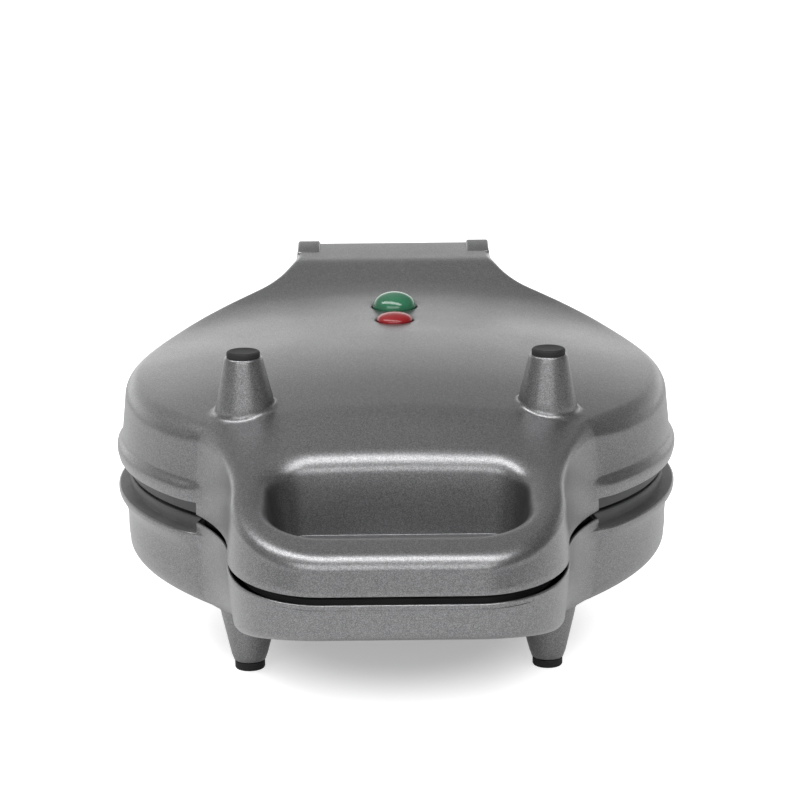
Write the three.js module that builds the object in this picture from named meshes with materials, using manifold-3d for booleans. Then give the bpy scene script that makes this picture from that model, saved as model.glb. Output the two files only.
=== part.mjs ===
// Bubble waffle maker: two moulded halves that close on a rear hinge, each with a cast cup plate.
// Millimetres, +Z up, handle towards -Y, hinge towards +Y, floor at z = 0.

import * as THREE from 'three';
import { mergeVertices } from 'three/addons/utils/BufferGeometryUtils.js';
import Module from 'manifold-3d';

const wasm = await Module();
wasm.setup();

// Plan of both halves, measured from the middle of the round cooking area
const bodyRadius = 110;
const handleLength = 66;
const handleReach = bodyRadius + handleLength;
const shoulderWidth = 49;
const handleHalf = bodyRadius - shoulderWidth;
const cornerAcross = 35;
const cornerAlong = 47;
const meetTurn = THREE.MathUtils.degToRad(46.64);
const neckHalf = 45;
const neckBendRadius = 42;
const rearLength = 34;
const rearReach = bodyRadius + rearLength;
const rearCorner = 9;
const collarLength = 6;
const collarReach = bodyRadius + collarLength;
const collarBendRadius = 6;
const collarCorner = 3;
const flankTurn = THREE.MathUtils.degToRad(50);

// Heights above and below the plane where the halves meet
const lidRise = 50;
const baseDrop = 48;
const baseClearance = 13;
const splitHeight = baseDrop + baseClearance;
const lipGap = 3.1;
const crownSag = 16;
const wall = 2.4;
const innerInset = 3.9;
const shelfLevel = 19;
const shelfSlope = 4;
const sideDraft = 1.6;
const bodyRoll = 7.5;
const overrun = 2;
const seatGap = 0.3;

// Bead round the lid and lip round the base: level from the split plane, and how proud of the wall
const beadProud = 2.3;
const skirtSunk = 1.2;
const beadStart = 6.9;
const beadEdge = 0.5;
const beadCrest = 4;
const beadFade = 4.6;
const lipStart = 5.4;
const lipCrest = 2.4;
const lipFade = 6;

// Pegs that carry the appliance upside down, and the feet below them
const pegSideInset = 4;
const pegAcross = handleHalf - pegSideInset;
const pegInset = 42.6;
const pegForward = bodyRadius - pegInset;
const footInset = 35;
const footForward = bodyRadius - footInset;
const pegRise = 11.6;
const pegTopHeight = splitHeight + lidRise + pegRise;
const pegTopRadius = 7.3;
const pegBaseRadius = 10.8;
const pegFlareRadius = 12.3;
const rootSunk = 3.4;
const capRadius = 6.3;
const capHeight = 2.2;
const capStemRadius = 3;
const capStemLength = 5;
const earWidth = 10;
const earLength = 14;
const earProud = 1.3;
const earInset = 5;
const footTopRadius = 10;
const footTipRadius = 6.6;
const footPadRadius = 5.75;
const footPadHeight = 3.2;
const rearPadSideInset = 11;
const rearPadAcross = neckHalf - rearPadSideInset;
const rearPadInset = 14;
const rearPadBack = rearReach - rearPadInset;

// Finger recess in the top of the handle
const wellSideInset = 14.5;
const wellWidth = 2 * (handleHalf - wellSideInset);
const wellLength = 47;
const wellFrontInset = 18;
const wellFront = handleReach - wellFrontInset;
const wellFrontCorner = 21;
const wellBackCorner = 10;
const wellFloorRise = 3.1;
const wellFloor = splitHeight + wellFloorRise;
const wellRim = 5;
const wellDraft = 3;

// Hinge
const hingeInset = 14;
const hingeBack = rearReach - hingeInset;
const hingeSkirtDrop = 5;
const hingeSkirtBottom = splitHeight - hingeSkirtDrop;
const hingeSkirtAhead = 10;
const hingeSkirtFront = hingeBack - hingeSkirtAhead;
const lugRadius = 7;
const lugWidth = 8;
const lugGap = 3;
const pinRadius = 2.5;

// Cooking plates
const plateInset = 17;
const plateRadius = bodyRadius - plateInset;
const plateFlangeReach = 2.4;
const plateFlangeThick = 3.3;
const plateRimWidth = 4.6;
const plateDepth = 16.7;
const webDepth = 2.2;
const rimGap = 0.3;
const cupRadius = 12;
const cupPitch = 27.5;
const frameThick = 2.6;

// Parts behind each plate
const heaterShare = 0.624;
const heaterRadius = plateRadius * heaterShare;
const heaterTube = 3.3;
const panThick = 1;
const panInset = 2;
const panRadius = plateRadius - panInset;
const screwRadius = 1.5;
const screwHeadRadius = 3.2;
const screwHeadHeight = 2;
const bossRadius = 4.3;
const plateBossAcross = 28;
const frameBossInset = 9.5;
const frameBossRing = bodyRadius - frameBossInset;
const frameBossTurn = THREE.MathUtils.degToRad(24);
const thermostatRadius = 8.5;
const thermostatCapRadius = 6;
const thermostatBack = 30;
const fuseRadius = 2.2;
const fuseLength = 18;
const fuseForward = 30;

// Lamps and their lenses
const readyLensBack = 58;
const readyLensRadius = 9.2;
const readyLensDome = 3.8;
const powerLensBack = 33;
const powerLensRadius = 7.4;
const powerLensDome = 1.6;
const lensStemShare = 0.66;
const lensStemDepth = 6;
const lensWall = 1.4;

// Cord inlet and terminal block
const inletRadius = 4;
const inletWall = 1.6;
const inletFlange = 8;
const blockWidth = 34;
const blockLength = 16;
const blockHeight = 11;
const blockInset = 14;
const blockBack = bodyRadius - blockInset;

const shellGrey = 0x84868a;
const blackPlastic = 0x1b1b1c;
const rubberBlack = 0x121213;
const castGrey = 0x3a3a3c;
const steelGrey = 0xb4b6b9;
const lensGreen = 0x1f6b45;
const lensRed = 0x9c1420;

const vector = (x, y, z) => new THREE.Vector3(x, y, z);

function signedVolume(geometry, index) {
  const position = geometry.getAttribute('position');
  const corner = (i) => vector(0, 0, 0).fromBufferAttribute(position, index[i]);
  let sum = 0;
  for (let i = 0; i < index.length; i += 3) {
    sum += corner(i).dot(corner(i + 1).cross(corner(i + 2)));
  }
  return sum;
}

// Merges shared corners, drops folded triangles and turns the faces outwards
function cleanGeometry(source) {
  const bare = new THREE.BufferGeometry();
  bare.setAttribute('position', source.getAttribute('position').clone());
  if (source.index) {
    bare.setIndex(source.index.clone());
  }
  const merged = mergeVertices(bare, wall / 4096);
  const kept = [];
  const index = merged.index.array;
  for (let corner = 0; corner < index.length; corner += 3) {
    const [a, b, c] = [index[corner], index[corner + 1], index[corner + 2]];
    if (a !== b && b !== c && c !== a) {
      kept.push(a, b, c);
    }
  }
  merged.setIndex(signedVolume(merged, kept) < 0 ? kept.reverse() : kept);
  return merged;
}

function toSolid(geometry) {
  const clean = cleanGeometry(geometry);
  const vertProperties = new Float32Array(clean.getAttribute('position').array);
  const triVerts = new Uint32Array(clean.index.array);
  return new wasm.Manifold(new wasm.Mesh({ numProp: 3, vertProperties, triVerts }));
}

function toGeometry(solid) {
  const mesh = solid.getMesh();
  const geometry = new THREE.BufferGeometry();
  geometry.setAttribute('position', new THREE.BufferAttribute(mesh.vertProperties, 3));
  geometry.setIndex(new THREE.BufferAttribute(mesh.triVerts, 1));
  return geometry;
}

function lathe(profile, sides = 16) {
  const points = profile.map(([radius, height]) => new THREE.Vector2(radius, height));
  const geometry = new THREE.LatheGeometry(points, sides);
  geometry.rotateX(Math.PI / 2);
  return geometry;
}

function cylinder(radius, low, high, sides = 16) {
  return lathe([[0, low], [radius, low], [radius, high], [0, high]], sides);
}

function block(from, to) {
  const size = to.clone().sub(from);
  const middle = to.clone().add(from).multiplyScalar(1 / 2);
  return new THREE.BoxGeometry(size.x, size.y, size.z).translate(middle.x, middle.y, middle.z);
}

// Smooth value along a table of [place share, value share] stations
function along(stations, place) {
  const last = stations.length - 1;
  if (place <= stations[0][0]) {
    return stations[0][1];
  }
  if (place >= stations[last][0]) {
    return stations[last][1];
  }
  const slope = (i) => {
    const before = stations[Math.max(i - 1, 0)];
    const after = stations[Math.min(i + 1, last)];
    return (after[1] - before[1]) / (after[0] - before[0]);
  };
  const i = stations.findIndex(([station]) => station > place) - 1;
  const [start, end] = [stations[i], stations[i + 1]];
  const width = end[0] - start[0];
  const t = (place - start[0]) / width;
  const rise = end[1] - start[1];
  const [first, second] = [slope(i) * width, slope(i + 1) * width];
  return start[1] + t * (first + t * (3 * rise - 2 * first - second + t * (first + second - 2 * rise)));
}

// Stations along the length: -1 is the handle's front, 1 is the rear
const lidRiseShares = [[-1, 0.28], [-0.977, 0.3], [-0.63, 0.612], [-0.477, 0.802], [-0.426, 0.852],
  [-0.227, 0.95], [0, 1], [0.347, 1.01], [0.52, 1.03], [0.625, 1.075], [0.695, 1.14], [0.764, 1.225],
  [0.83, 1.244], [1, 1.244]];
const baseDropShares = [[-1, 0.3], [-0.977, 0.32], [-0.63, 0.66], [-0.477, 0.85], [-0.426, 0.89],
  [-0.227, 0.97], [0, 1], [0.45, 1], [0.625, 1.03], [0.764, 1.13], [0.86, 1.16], [1, 1.16]];
const sagShares = [[-1, 0], [-0.74, 0.05], [-0.6, 0.45], [-0.5, 0.85], [-0.42, 1], [0, 0.91],
  [0.35, 0.85], [0.5, 0.66], [0.6, 0.42], [0.68, 0.2], [0.76, 0.05], [0.82, 0], [1, 0]];
const rollShares = [[-1, 0.42], [-0.9, 0.45], [-0.72, 0.7], [-0.5, 0.95], [-0.4, 1], [-0.1, 0.76],
  [0.15, 0.66], [0.5, 0.64], [0.75, 0.5], [0.9, 0.4], [1, 0.4]];

const lengthShare = (y) => y / (y < 0 ? handleReach : rearReach);

// Height of the outer skin from the split plane
function skin(half, x, y) {
  const share = lengthShare(y);
  const sag = crownSag * along(sagShares, share) * (x / bodyRadius) ** 2;
  return half.rise * along(half.riseShares, share) - sag;
}

const lid = { side: 1, rise: lidRise, riseShares: lidRiseShares };
const base = { side: -1, rise: baseDrop, riseShares: baseDropShares };
const skinHeight = (half, x, y) => splitHeight + half.side * skin(half, x, y);

// Plan outline: stations run from the front centre round the +X side to the rear centre
const sections = [['front', 1], ['corner', 5], ['hollow', 3], ['body', 8], ['flank', 2],
  ['neckBend', 2], ['neck', 2], ['rearCorner', 2], ['rear', 1]];
const stepShare = 0.012;
const stations = sections.flatMap(([section, steps]) => {
  const shares = Array.from({ length: steps }, (_, step) => step / steps);
  return (section === 'body' ? [0, stepShare, ...shares.slice(1)] : shares)
    .map((share) => ({ section, share }));
});
stations.push({ section: 'rear', share: 1 });

const fullRear = { reach: rearReach, bend: neckBendRadius, corner: rearCorner };
const collarRear = { reach: collarReach, bend: collarBendRadius, corner: collarCorner };

// Radius of the hollow bend that carries each handle side onto the round body
const cornerX = handleHalf - cornerAcross;
const cornerY = handleReach - cornerAlong;
const meetAcross = bodyRadius * Math.cos(meetTurn) - handleHalf;
const meetAlong = cornerY - bodyRadius * Math.sin(meetTurn);
const hollowRadius = (meetAcross ** 2 + meetAlong ** 2) / meetAcross / 2;
const hollowX = handleHalf + hollowRadius;

function outlinePoint({ section, share }, inset, proud, rear) {
  const radius = bodyRadius - inset;
  const hollowR = hollowRadius + inset;
  const span = Math.hypot(hollowX, cornerY);
  const spread = Math.acos((radius ** 2 + span ** 2 - hollowR ** 2) / (2 * radius * span));
  const stepTurn = -Math.atan2(cornerY, hollowX) - spread;
  const normalX = Math.cos(flankTurn);
  const normalY = Math.sin(flankTurn);
  const neckX = neckHalf + rear.bend;
  const neckY = (bodyRadius + rear.bend - neckX * normalX) / normalY;
  const neckR = rear.bend + inset;
  const rearR = Math.max(rear.corner - inset, seatGap);
  const rearX = neckHalf - inset - rearR;
  const rearY = rear.reach - inset - rearR;
  if (section === 'front') {
    return [share * cornerX, inset - handleReach];
  }
  if (section === 'corner') {
    const turn = share * Math.PI / 2;
    return [cornerX + (cornerAcross - inset) * Math.sin(turn),
      -cornerY - (cornerAlong - inset) * Math.cos(turn)];
  }
  if (section === 'hollow') {
    const meetX = radius * Math.cos(stepTurn);
    const meetY = radius * Math.sin(stepTurn);
    const turn = share * Math.atan2(meetY + cornerY, hollowX - meetX);
    return [hollowX - hollowR * Math.cos(turn), hollowR * Math.sin(turn) - cornerY];
  }
  if (section === 'body') {
    const turn = THREE.MathUtils.lerp(stepTurn, flankTurn, share);
    const reach = radius + (share > 0 ? proud : 0);
    return [reach * Math.cos(turn), reach * Math.sin(turn)];
  }
  if (section === 'flank') {
    const reach = radius + proud;
    const endX = neckX - neckR * normalX + proud * normalX;
    const endY = neckY - neckR * normalY + proud * normalY;
    return [THREE.MathUtils.lerp(reach * normalX, endX, share),
      THREE.MathUtils.lerp(reach * normalY, endY, share)];
  }
  if (section === 'neckBend') {
    const turn = THREE.MathUtils.lerp(flankTurn, 0, share);
    return [neckX - neckR * Math.cos(turn), neckY - neckR * Math.sin(turn)];
  }
  if (section === 'neck') {
    return [neckHalf - inset, THREE.MathUtils.lerp(neckY, rearY, share)];
  }
  if (section === 'rearCorner') {
    const turn = share * Math.PI / 2;
    return [rearX + rearR * Math.cos(turn), rearY + rearR * Math.sin(turn)];
  }
  return [THREE.MathUtils.lerp(rearX, 0, share), rear.reach - inset];
}

// A ring of points round the whole outline; place gives each station's x, y and level
function ring(place) {
  const right = stations.map(place);
  const left = right.slice(1, -1).reverse().map((point) => vector(-point.x, point.y, point.z));
  return [...right, ...left];
}

// Closed solid through rings from low to high; a ring that isn't folded onto the middle is capped
function loft(rings, capLow, capHigh) {
  const count = rings[0].length;
  const positions = rings.flat().flatMap((point) => [point.x, point.y, point.z]);
  const indices = [];
  for (let level = 0; level < rings.length - 1; level += 1) {
    for (let i = 0; i < count; i += 1) {
      const a = level * count + i;
      const b = level * count + (i + 1) % count;
      indices.push(a, b, b + count, a, b + count, a + count);
    }
  }
  const cap = (level, flip) => {
    const contour = rings[level].map((point) => new THREE.Vector2(point.x, point.y));
    THREE.ShapeUtils.triangulateShape(contour, []).forEach(([a, b, c]) => {
      const order = flip ? [a, c, b] : [a, b, c];
      indices.push(...order.map((i) => i + level * count));
    });
  };
  if (capLow) {
    cap(0, true);
  }
  if (capHigh) {
    cap(rings.length - 1, false);
  }
  const geometry = new THREE.BufferGeometry();
  geometry.setAttribute('position', new THREE.Float32BufferAttribute(positions, 3));
  geometry.setIndex(indices);
  return geometry;
}

// Solid from a geometry whose z is its distance from the split plane, above or below it
function halfSolid(geometry, half) {
  return toSolid(geometry.scale(1, 1, half.side).translate(0, 0, splitHeight));
}

// Skin of one half: wall rows, a rolled shoulder, then rings across the crown to the middle line
const spineShare = 0.9;
function halfSkin(half, rows, draft, depth, rollSteps, crownSteps) {
  const start = rows[0].level;
  const { level: end, inset: sideInset, rear: highRear } = rows[rows.length - 1];
  const shoulderInset = sideInset + draft;
  const shoulder = stations.map((station) => {
    const [, nearY] = outlinePoint(station, shoulderInset, 0, highRear);
    const roll = (bodyRoll - depth) * along(rollShares, lengthShare(nearY));
    const [x, y] = outlinePoint(station, shoulderInset + roll, 0, highRear);
    return { roll, x, y, top: skin(half, x, y) - depth };
  });
  const rings = rows.map((each) => ring((station, i) => {
    const { roll, top } = shoulder[i];
    const room = (top - roll - start) / (end + beadEdge - start);
    const level = start + (each.level - start) * Math.min(1, room);
    const [x, y] = outlinePoint(station, each.inset, each.proud, each.rear);
    return vector(x, y, level);
  }));
  for (let step = 0; step <= rollSteps; step += 1) {
    const turn = step / rollSteps * Math.PI / 2;
    rings.push(ring((station, i) => {
      const { roll, top } = shoulder[i];
      const inset = shoulderInset + roll * (1 - Math.cos(turn));
      const [x, y] = outlinePoint(station, inset, 0, highRear);
      return vector(x, y, top - roll * (1 - Math.sin(turn)));
    }));
  }
  for (let step = 1; step <= crownSteps; step += 1) {
    rings.push(ring((station, i) => {
      const { x, y } = shoulder[i];
      const ringX = x * (1 - step / crownSteps);
      const ringY = y * THREE.MathUtils.lerp(1, spineShare, step / crownSteps);
      return vector(ringX, ringY, skin(half, ringX, ringY) - depth);
    }));
  }
  return halfSolid(loft(rings, true, false), half);
}

const lipLevel = lipGap / 2;
const row = (level, inset, proud, rear = fullRear) => ({ level, inset, proud, rear });
const lidRows = [
  row(lipLevel, 0, -skirtSunk),
  row(beadStart - beadEdge, 0, -skirtSunk),
  row(beadStart, 0, beadProud),
  row(beadStart + beadCrest, 0, beadProud),
  row(beadStart + beadCrest + beadFade / 2, 0, beadProud / 3),
  row(beadStart + beadCrest + beadFade, 0, 0),
];
const baseRows = [
  row(lipLevel, 0, -skirtSunk, collarRear),
  row(lipStart - beadEdge, 0, -skirtSunk, collarRear),
  row(lipStart, 0, beadProud, collarRear),
  row(lipStart + lipCrest, 0, beadProud, collarRear),
  row(lipStart + lipCrest + lipFade, 0, -skirtSunk, collarRear),
  row(shelfLevel, 0, -skirtSunk, collarRear),
  row(shelfLevel + shelfSlope, 0, -skirtSunk),
];
const inner = (level, rear = fullRear) => row(level, innerInset, 0, rear);
const lidInnerRows = [inner(lipLevel - overrun), inner(beadStart)];
const baseInnerRows = [inner(lipLevel - overrun, collarRear), inner(shelfLevel + wall, collarRear),
  inner(shelfLevel + shelfSlope + wall)];

const lidOuter = halfSkin(lid, lidRows, sideDraft, 0, 3, 4);
const lidInner = halfSkin(lid, lidInnerRows, sideDraft, wall, 2, 3);
const baseOuter = halfSkin(base, baseRows, sideDraft, 0, 2, 3);
const baseInner = halfSkin(base, baseInnerRows, sideDraft, wall, 2, 2);

// Small solids
const upright = (profile, x, y, sides) => toSolid(lathe(profile, sides).translate(x, y, 0));
const rod = (radius, low, high, x = 0, y = 0, sides = 8) => (
  upright([[0, low], [radius, low], [radius, high], [0, high]], x, y, sides));
const box = (from, to) => toSolid(block(from, to));
const crossRod = (radius, from, to, y, z, sides = 10) => (
  toSolid(cylinder(radius, from, to, sides).rotateY(Math.PI / 2).translate(0, y, z)));
const lengthRod = (profile, x, z, sides = 10) => (
  toSolid(lathe(profile, sides).rotateX(-Math.PI / 2).translate(x, 0, z)));
const joined = (solids) => solids.reduce((sum, solid) => sum.add(solid));
const cut = (solid, tools) => tools.reduce((rest, tool) => rest.subtract(tool), solid);
const both = (make) => [-1, 1].map(make);

// A screw: head towards -z in the profile, thread end towards +z
const screwProfile = (head, tip) => {
  const way = Math.sign(tip - head);
  const neck = head + way * screwHeadHeight;
  return [[0, head], [screwHeadRadius, head], [screwHeadRadius, neck], [screwRadius, neck],
    [screwRadius, tip], [0, tip]];
};
const screwHole = screwRadius + seatGap;
const headHole = screwHeadRadius + seatGap;

// Finger recess: rings of a rounded rectangle, low ones level, high ones following the skin
const wellMiddle = wellFront - wellLength / 2;
const wellCornerSteps = 3;
function wellRing(inset, levelAt) {
  const points = [];
  [[1, -1], [1, 1], [-1, 1], [-1, -1]].forEach(([sideX, sideY], quarter) => {
    const corner = sideY < 0 ? wellFrontCorner : wellBackCorner;
    for (let step = 0; step <= wellCornerSteps; step += 1) {
      const turn = (quarter - 1 + step / wellCornerSteps) * Math.PI / 2;
      const x = sideX * (wellWidth / 2 - corner) + (corner - inset) * Math.cos(turn);
      const y = sideY * (wellLength / 2 - corner) + (corner - inset) * Math.sin(turn) - wellMiddle;
      points.push(vector(x, y, levelAt(x, y)));
    }
  });
  return points;
}

// Rounded foot of its wall and rolled rim at the top, as shares of the rim size: inset, level
const wellFootShares = [[0.8, 0], [0.3, 0.3], [0, 0.8]];
const wellRimShares = [[0.2, 1], [-0.3, 0.35], [-1, 0]];
function wellSolid(grown) {
  const rings = wellFootShares.map(([inset, level]) => wellRing(
    wellDraft + wellRim * inset - grown, () => wellFloor + wellRim * level - grown));
  wellRimShares.forEach(([inset, below]) => rings.push(wellRing(
    wellRim * inset - grown, (x, y) => skinHeight(lid, x, y) - wellRim * below)));
  rings.push(wellRing(-wellRim - grown, (x, y) => skinHeight(lid, x, y) + overrun));
  return toSolid(loft(rings, true, true));
}

// Passage that lets the recess reach down through the frame behind the lid
function wellPassage() {
  const inset = wellDraft - wall - 2 * seatGap;
  return toSolid(loft([splitHeight, splitHeight + frameTop + overrun].map((level) => (
    wellRing(inset, () => level))), true, true));
}

// Pegs and feet
const pegSkin = skinHeight(lid, pegAcross, -pegForward);
const pegRoot = pegSkin - rootSunk;
const pegShoulder = pegTopHeight - capHeight;
const pegProfile = [[0, pegRoot], [pegFlareRadius, pegRoot], [pegBaseRadius, pegSkin + wall],
  [pegTopRadius, pegShoulder - wall / 4], [pegTopRadius - wall / 4, pegShoulder], [0, pegShoulder]];
const capProfile = [[0, pegShoulder - capStemLength], [capStemRadius, pegShoulder - capStemLength],
  [capStemRadius, pegShoulder + seatGap], [capRadius, pegShoulder + seatGap],
  [capRadius, pegTopHeight - wall / 4], [capRadius - wall / 4, pegTopHeight], [0, pegTopHeight]];
const footSkin = skinHeight(base, pegAcross, -footForward);
const footTip = footPadHeight + seatGap;
const footProfile = [[0, footTip], [footPadRadius, footTip], [footTipRadius, footTip + wall],
  [footTopRadius, footSkin], [footTopRadius, footSkin + rootSunk], [0, footSkin + rootSunk]];
const padProfile = (top) => [[0, 0], [footPadRadius - wall / 4, 0], [footPadRadius, wall / 4],
  [footPadRadius, top], [capStemRadius, top], [capStemRadius, top + capStemLength / 2],
  [0, top + capStemLength / 2]];
const padHole = (top, x, y) => rod(capStemRadius + seatGap, top - overrun,
  top + capStemLength / 2 + 2 * seatGap, x, y);
const rearPadTop = skinHeight(base, 0, rearPadBack) - seatGap;

// Screw places: four round the plate, two behind it
const framePlaces = [1, -1].flatMap((sideY) => both((sideX) => [
  sideX * frameBossRing * Math.cos(frameBossTurn), sideY * frameBossRing * Math.sin(frameBossTurn)]));
const platePlaces = both((side) => [side * plateBossAcross, 0]);

// Levels behind the split plane
const frameTop = rimGap + frameThick;
const flangeTop = frameTop + seatGap;
const plateBack = rimGap + plateDepth;
const heaterLevel = plateBack + seatGap + heaterTube;
const panLevel = heaterLevel + heaterTube + seatGap;
const postLevel = shelfLevel - wall * 3;
const sinkLevel = shelfLevel + shelfSlope + wall;

// Lamps: a lens seat sunk in the crown, square to the skin there
const lensSeat = (back) => {
  const step = readyLensRadius / 2;
  const rise = skinHeight(lid, 0, back + step) - skinHeight(lid, 0, back - step);
  return { back, height: skinHeight(lid, 0, back) - lensWall, tilt: Math.atan2(rise, 2 * step) };
};
const readyLens = { name: 'ready', radius: readyLensRadius, dome: readyLensDome, color: lensGreen };
const powerLens = { name: 'power', radius: powerLensRadius, dome: powerLensDome, color: lensRed };
const lenses = [
  { ...readyLens, seat: lensSeat(readyLensBack) },
  { ...powerLens, seat: lensSeat(powerLensBack) },
];
const onSeat = (geometry, { back, height, tilt }) => (
  toSolid(geometry.rotateX(tilt).translate(0, back, height)));
const holderTop = Math.min(...lenses.map(({ radius, seat }) => (
  seat.height - lensStemDepth * Math.cos(seat.tilt) - radius * lensStemShare * Math.sin(seat.tilt))))
  - seatGap;

// Lid shell
const lugOuter = neckHalf - innerInset - lugGap;
const lugInner = lugOuter - lugWidth;
function prism(inset, low, high, rear) {
  const level = (height) => ring((station) => {
    const [x, y] = outlinePoint(station, inset, 0, rear);
    return vector(x, y, height);
  });
  return toSolid(loft([level(low), level(high)], true, true));
}
const skirtTop = splitHeight + lipLevel + overrun;
const behind = box(vector(-neckHalf, hingeSkirtFront, 0), vector(neckHalf, rearReach, pegTopHeight));
const hingeSkirt = prism(0, hingeSkirtBottom, skirtTop, fullRear)
  .subtract(prism(innerInset, hingeSkirtBottom - overrun, skirtTop + overrun, fullRear))
  .intersect(behind);
const ears = both((side) => {
  const from = side * (neckHalf - overrun);
  const to = side * (neckHalf - overrun - earWidth);
  const back = rearReach - earInset;
  const roof = skinHeight(lid, 0, back);
  return box(vector(Math.min(from, to), back - earLength, roof - wall),
    vector(Math.max(from, to), back, roof + earProud));
});
const lidPosts = framePlaces.map(([x, y]) => (
  rod(bossRadius, splitHeight + frameTop + seatGap, pegTopHeight, x, y).intersect(lidOuter)));
const lampBosses = lenses.map(({ radius, seat }) => onSeat(
  cylinder(radius + wall, -wall, wall / 4), seat));
const lidCuts = [
  wellSolid(0),
  ...both((side) => rod(capStemRadius + seatGap, pegShoulder - capStemLength - seatGap,
    pegTopHeight, side * pegAcross, -pegForward)),
  ...framePlaces.map(([x, y]) => rod(screwHole, splitHeight, splitHeight + sinkLevel, x, y)),
  ...lenses.map(({ radius, seat }) => onSeat(cylinder(radius + seatGap, 0, lensStemDepth), seat)),
  ...lenses.map(({ radius, seat }) => onSeat(
    cylinder(radius * lensStemShare + seatGap, -lensStemDepth, overrun), seat)),
  crossRod(pinRadius + seatGap, -neckHalf - overrun, neckHalf + overrun, hingeBack, splitHeight),
];
const lidBody = joined([lidOuter.subtract(lidInner.subtract(wellSolid(wall))), hingeSkirt,
  ...both((side) => upright(pegProfile, side * pegAcross, -pegForward, 14)),
  ...ears, ...lidPosts, ...lampBosses]);

// Base shell
const lugShape = new THREE.Shape();
lugShape.moveTo(collarReach - overrun, splitHeight - lugRadius - overrun);
lugShape.lineTo(hingeBack, splitHeight - lugRadius);
lugShape.absarc(hingeBack, splitHeight, lugRadius, -Math.PI / 2, Math.PI / 2, false);
lugShape.lineTo(collarReach - overrun, splitHeight - lipLevel - beadEdge);
const lugs = both((side) => {
  const settings = { depth: lugWidth, bevelEnabled: false, curveSegments: 6 };
  const geometry = new THREE.ExtrudeGeometry(lugShape, settings);
  const turned = new THREE.Matrix4().makeBasis(vector(0, 1, 0), vector(0, 0, 1), vector(1, 0, 0));
  geometry.applyMatrix4(turned);
  return toSolid(geometry.translate(side > 0 ? lugInner : -lugOuter, 0, 0));
});
const basePosts = framePlaces.map(([x, y]) => (
  rod(bossRadius, 0, splitHeight - postLevel, x, y).intersect(baseOuter)));
const blockSeatTop = skinHeight(base, 0, blockBack) + 2 * wall;
const blockSeat = box(
  vector(-blockWidth / 2, blockBack - blockLength / 2, blockSeatTop - 2 * wall + seatGap),
  vector(blockWidth / 2, blockBack + blockLength / 2, blockSeatTop),
).intersect(baseOuter);
const inletFace = rearReach - wall;
const inletHeight = splitHeight - (shelfLevel + shelfSlope + skin(base, 0, rearReach)) / 2;
const inletSleeve = inletRadius + inletWall;
const inletBoss = lengthRod([[0, inletFace - 2 * wall], [inletFlange + wall, inletFace - 2 * wall],
  [inletFlange + wall, inletFace], [0, inletFace]], 0, inletHeight).intersect(baseOuter);
const inletCuts = [
  lengthRod([[0, inletFace], [inletFlange + seatGap, inletFace], [inletFlange + seatGap,
    rearReach + overrun], [0, rearReach + overrun]], 0, inletHeight, 12),
  lengthRod([[0, inletFace - 4 * wall], [inletSleeve + seatGap, inletFace - 4 * wall],
    [inletSleeve + seatGap, rearReach + overrun], [0, rearReach + overrun]], 0, inletHeight, 12),
];
const feet = both((side) => upright(footProfile, side * pegAcross, -footForward, 14));
const baseCuts = [
  ...framePlaces.map(([x, y]) => rod(headHole, -overrun, splitHeight - sinkLevel, x, y)),
  ...framePlaces.map(([x, y]) => rod(screwHole, 0, splitHeight, x, y)),
  ...both((side) => padHole(footTip, side * pegAcross, -footForward)),
  ...both((side) => padHole(rearPadTop, side * rearPadAcross, rearPadBack)),
  ...inletCuts,
  crossRod(pinRadius + seatGap, -neckHalf, neckHalf, hingeBack, splitHeight),
];
const baseBody = joined([baseOuter.subtract(baseInner), ...lugs, ...basePosts, ...feet, blockSeat,
  inletBoss]);

// Inner frame round a plate
const plateSides = 32;
const levelRod = (radius, low, high, x, y, half, sides) => (
  halfSolid(cylinder(radius, low, high, sides).translate(x, y, 0), half));
function frameSolid(half) {
  const levels = [rimGap, frameTop].map((level) => ring((station) => {
    const [x, y] = outlinePoint(station, innerInset + seatGap, 0, collarRear);
    return vector(x, y, level);
  }));
  const sheet = halfSolid(loft(levels, true, true), half);
  const opening = levelRod(plateRadius + seatGap, -overrun, frameTop + overrun, 0, 0, half, plateSides);
  const bosses = framePlaces.map(([x, y]) => (
    levelRod(bossRadius, frameTop - seatGap, postLevel - seatGap, x, y, half)));
  if (half.side < 0) {
    const blind = framePlaces.map(([x, y]) => (
      levelRod(screwHole, frameTop, postLevel, x, y, half)));
    return cut(joined([sheet, ...bosses]), [opening, ...blind]);
  }
  const through = framePlaces.flatMap(([x, y]) => [
    levelRod(screwHole, 0, frameTop + overrun, x, y, half),
    levelRod(headHole, 0, rimGap + screwHeadHeight, x, y, half)]);
  return cut(sheet, [opening, wellPassage(), ...through]);
}

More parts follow.
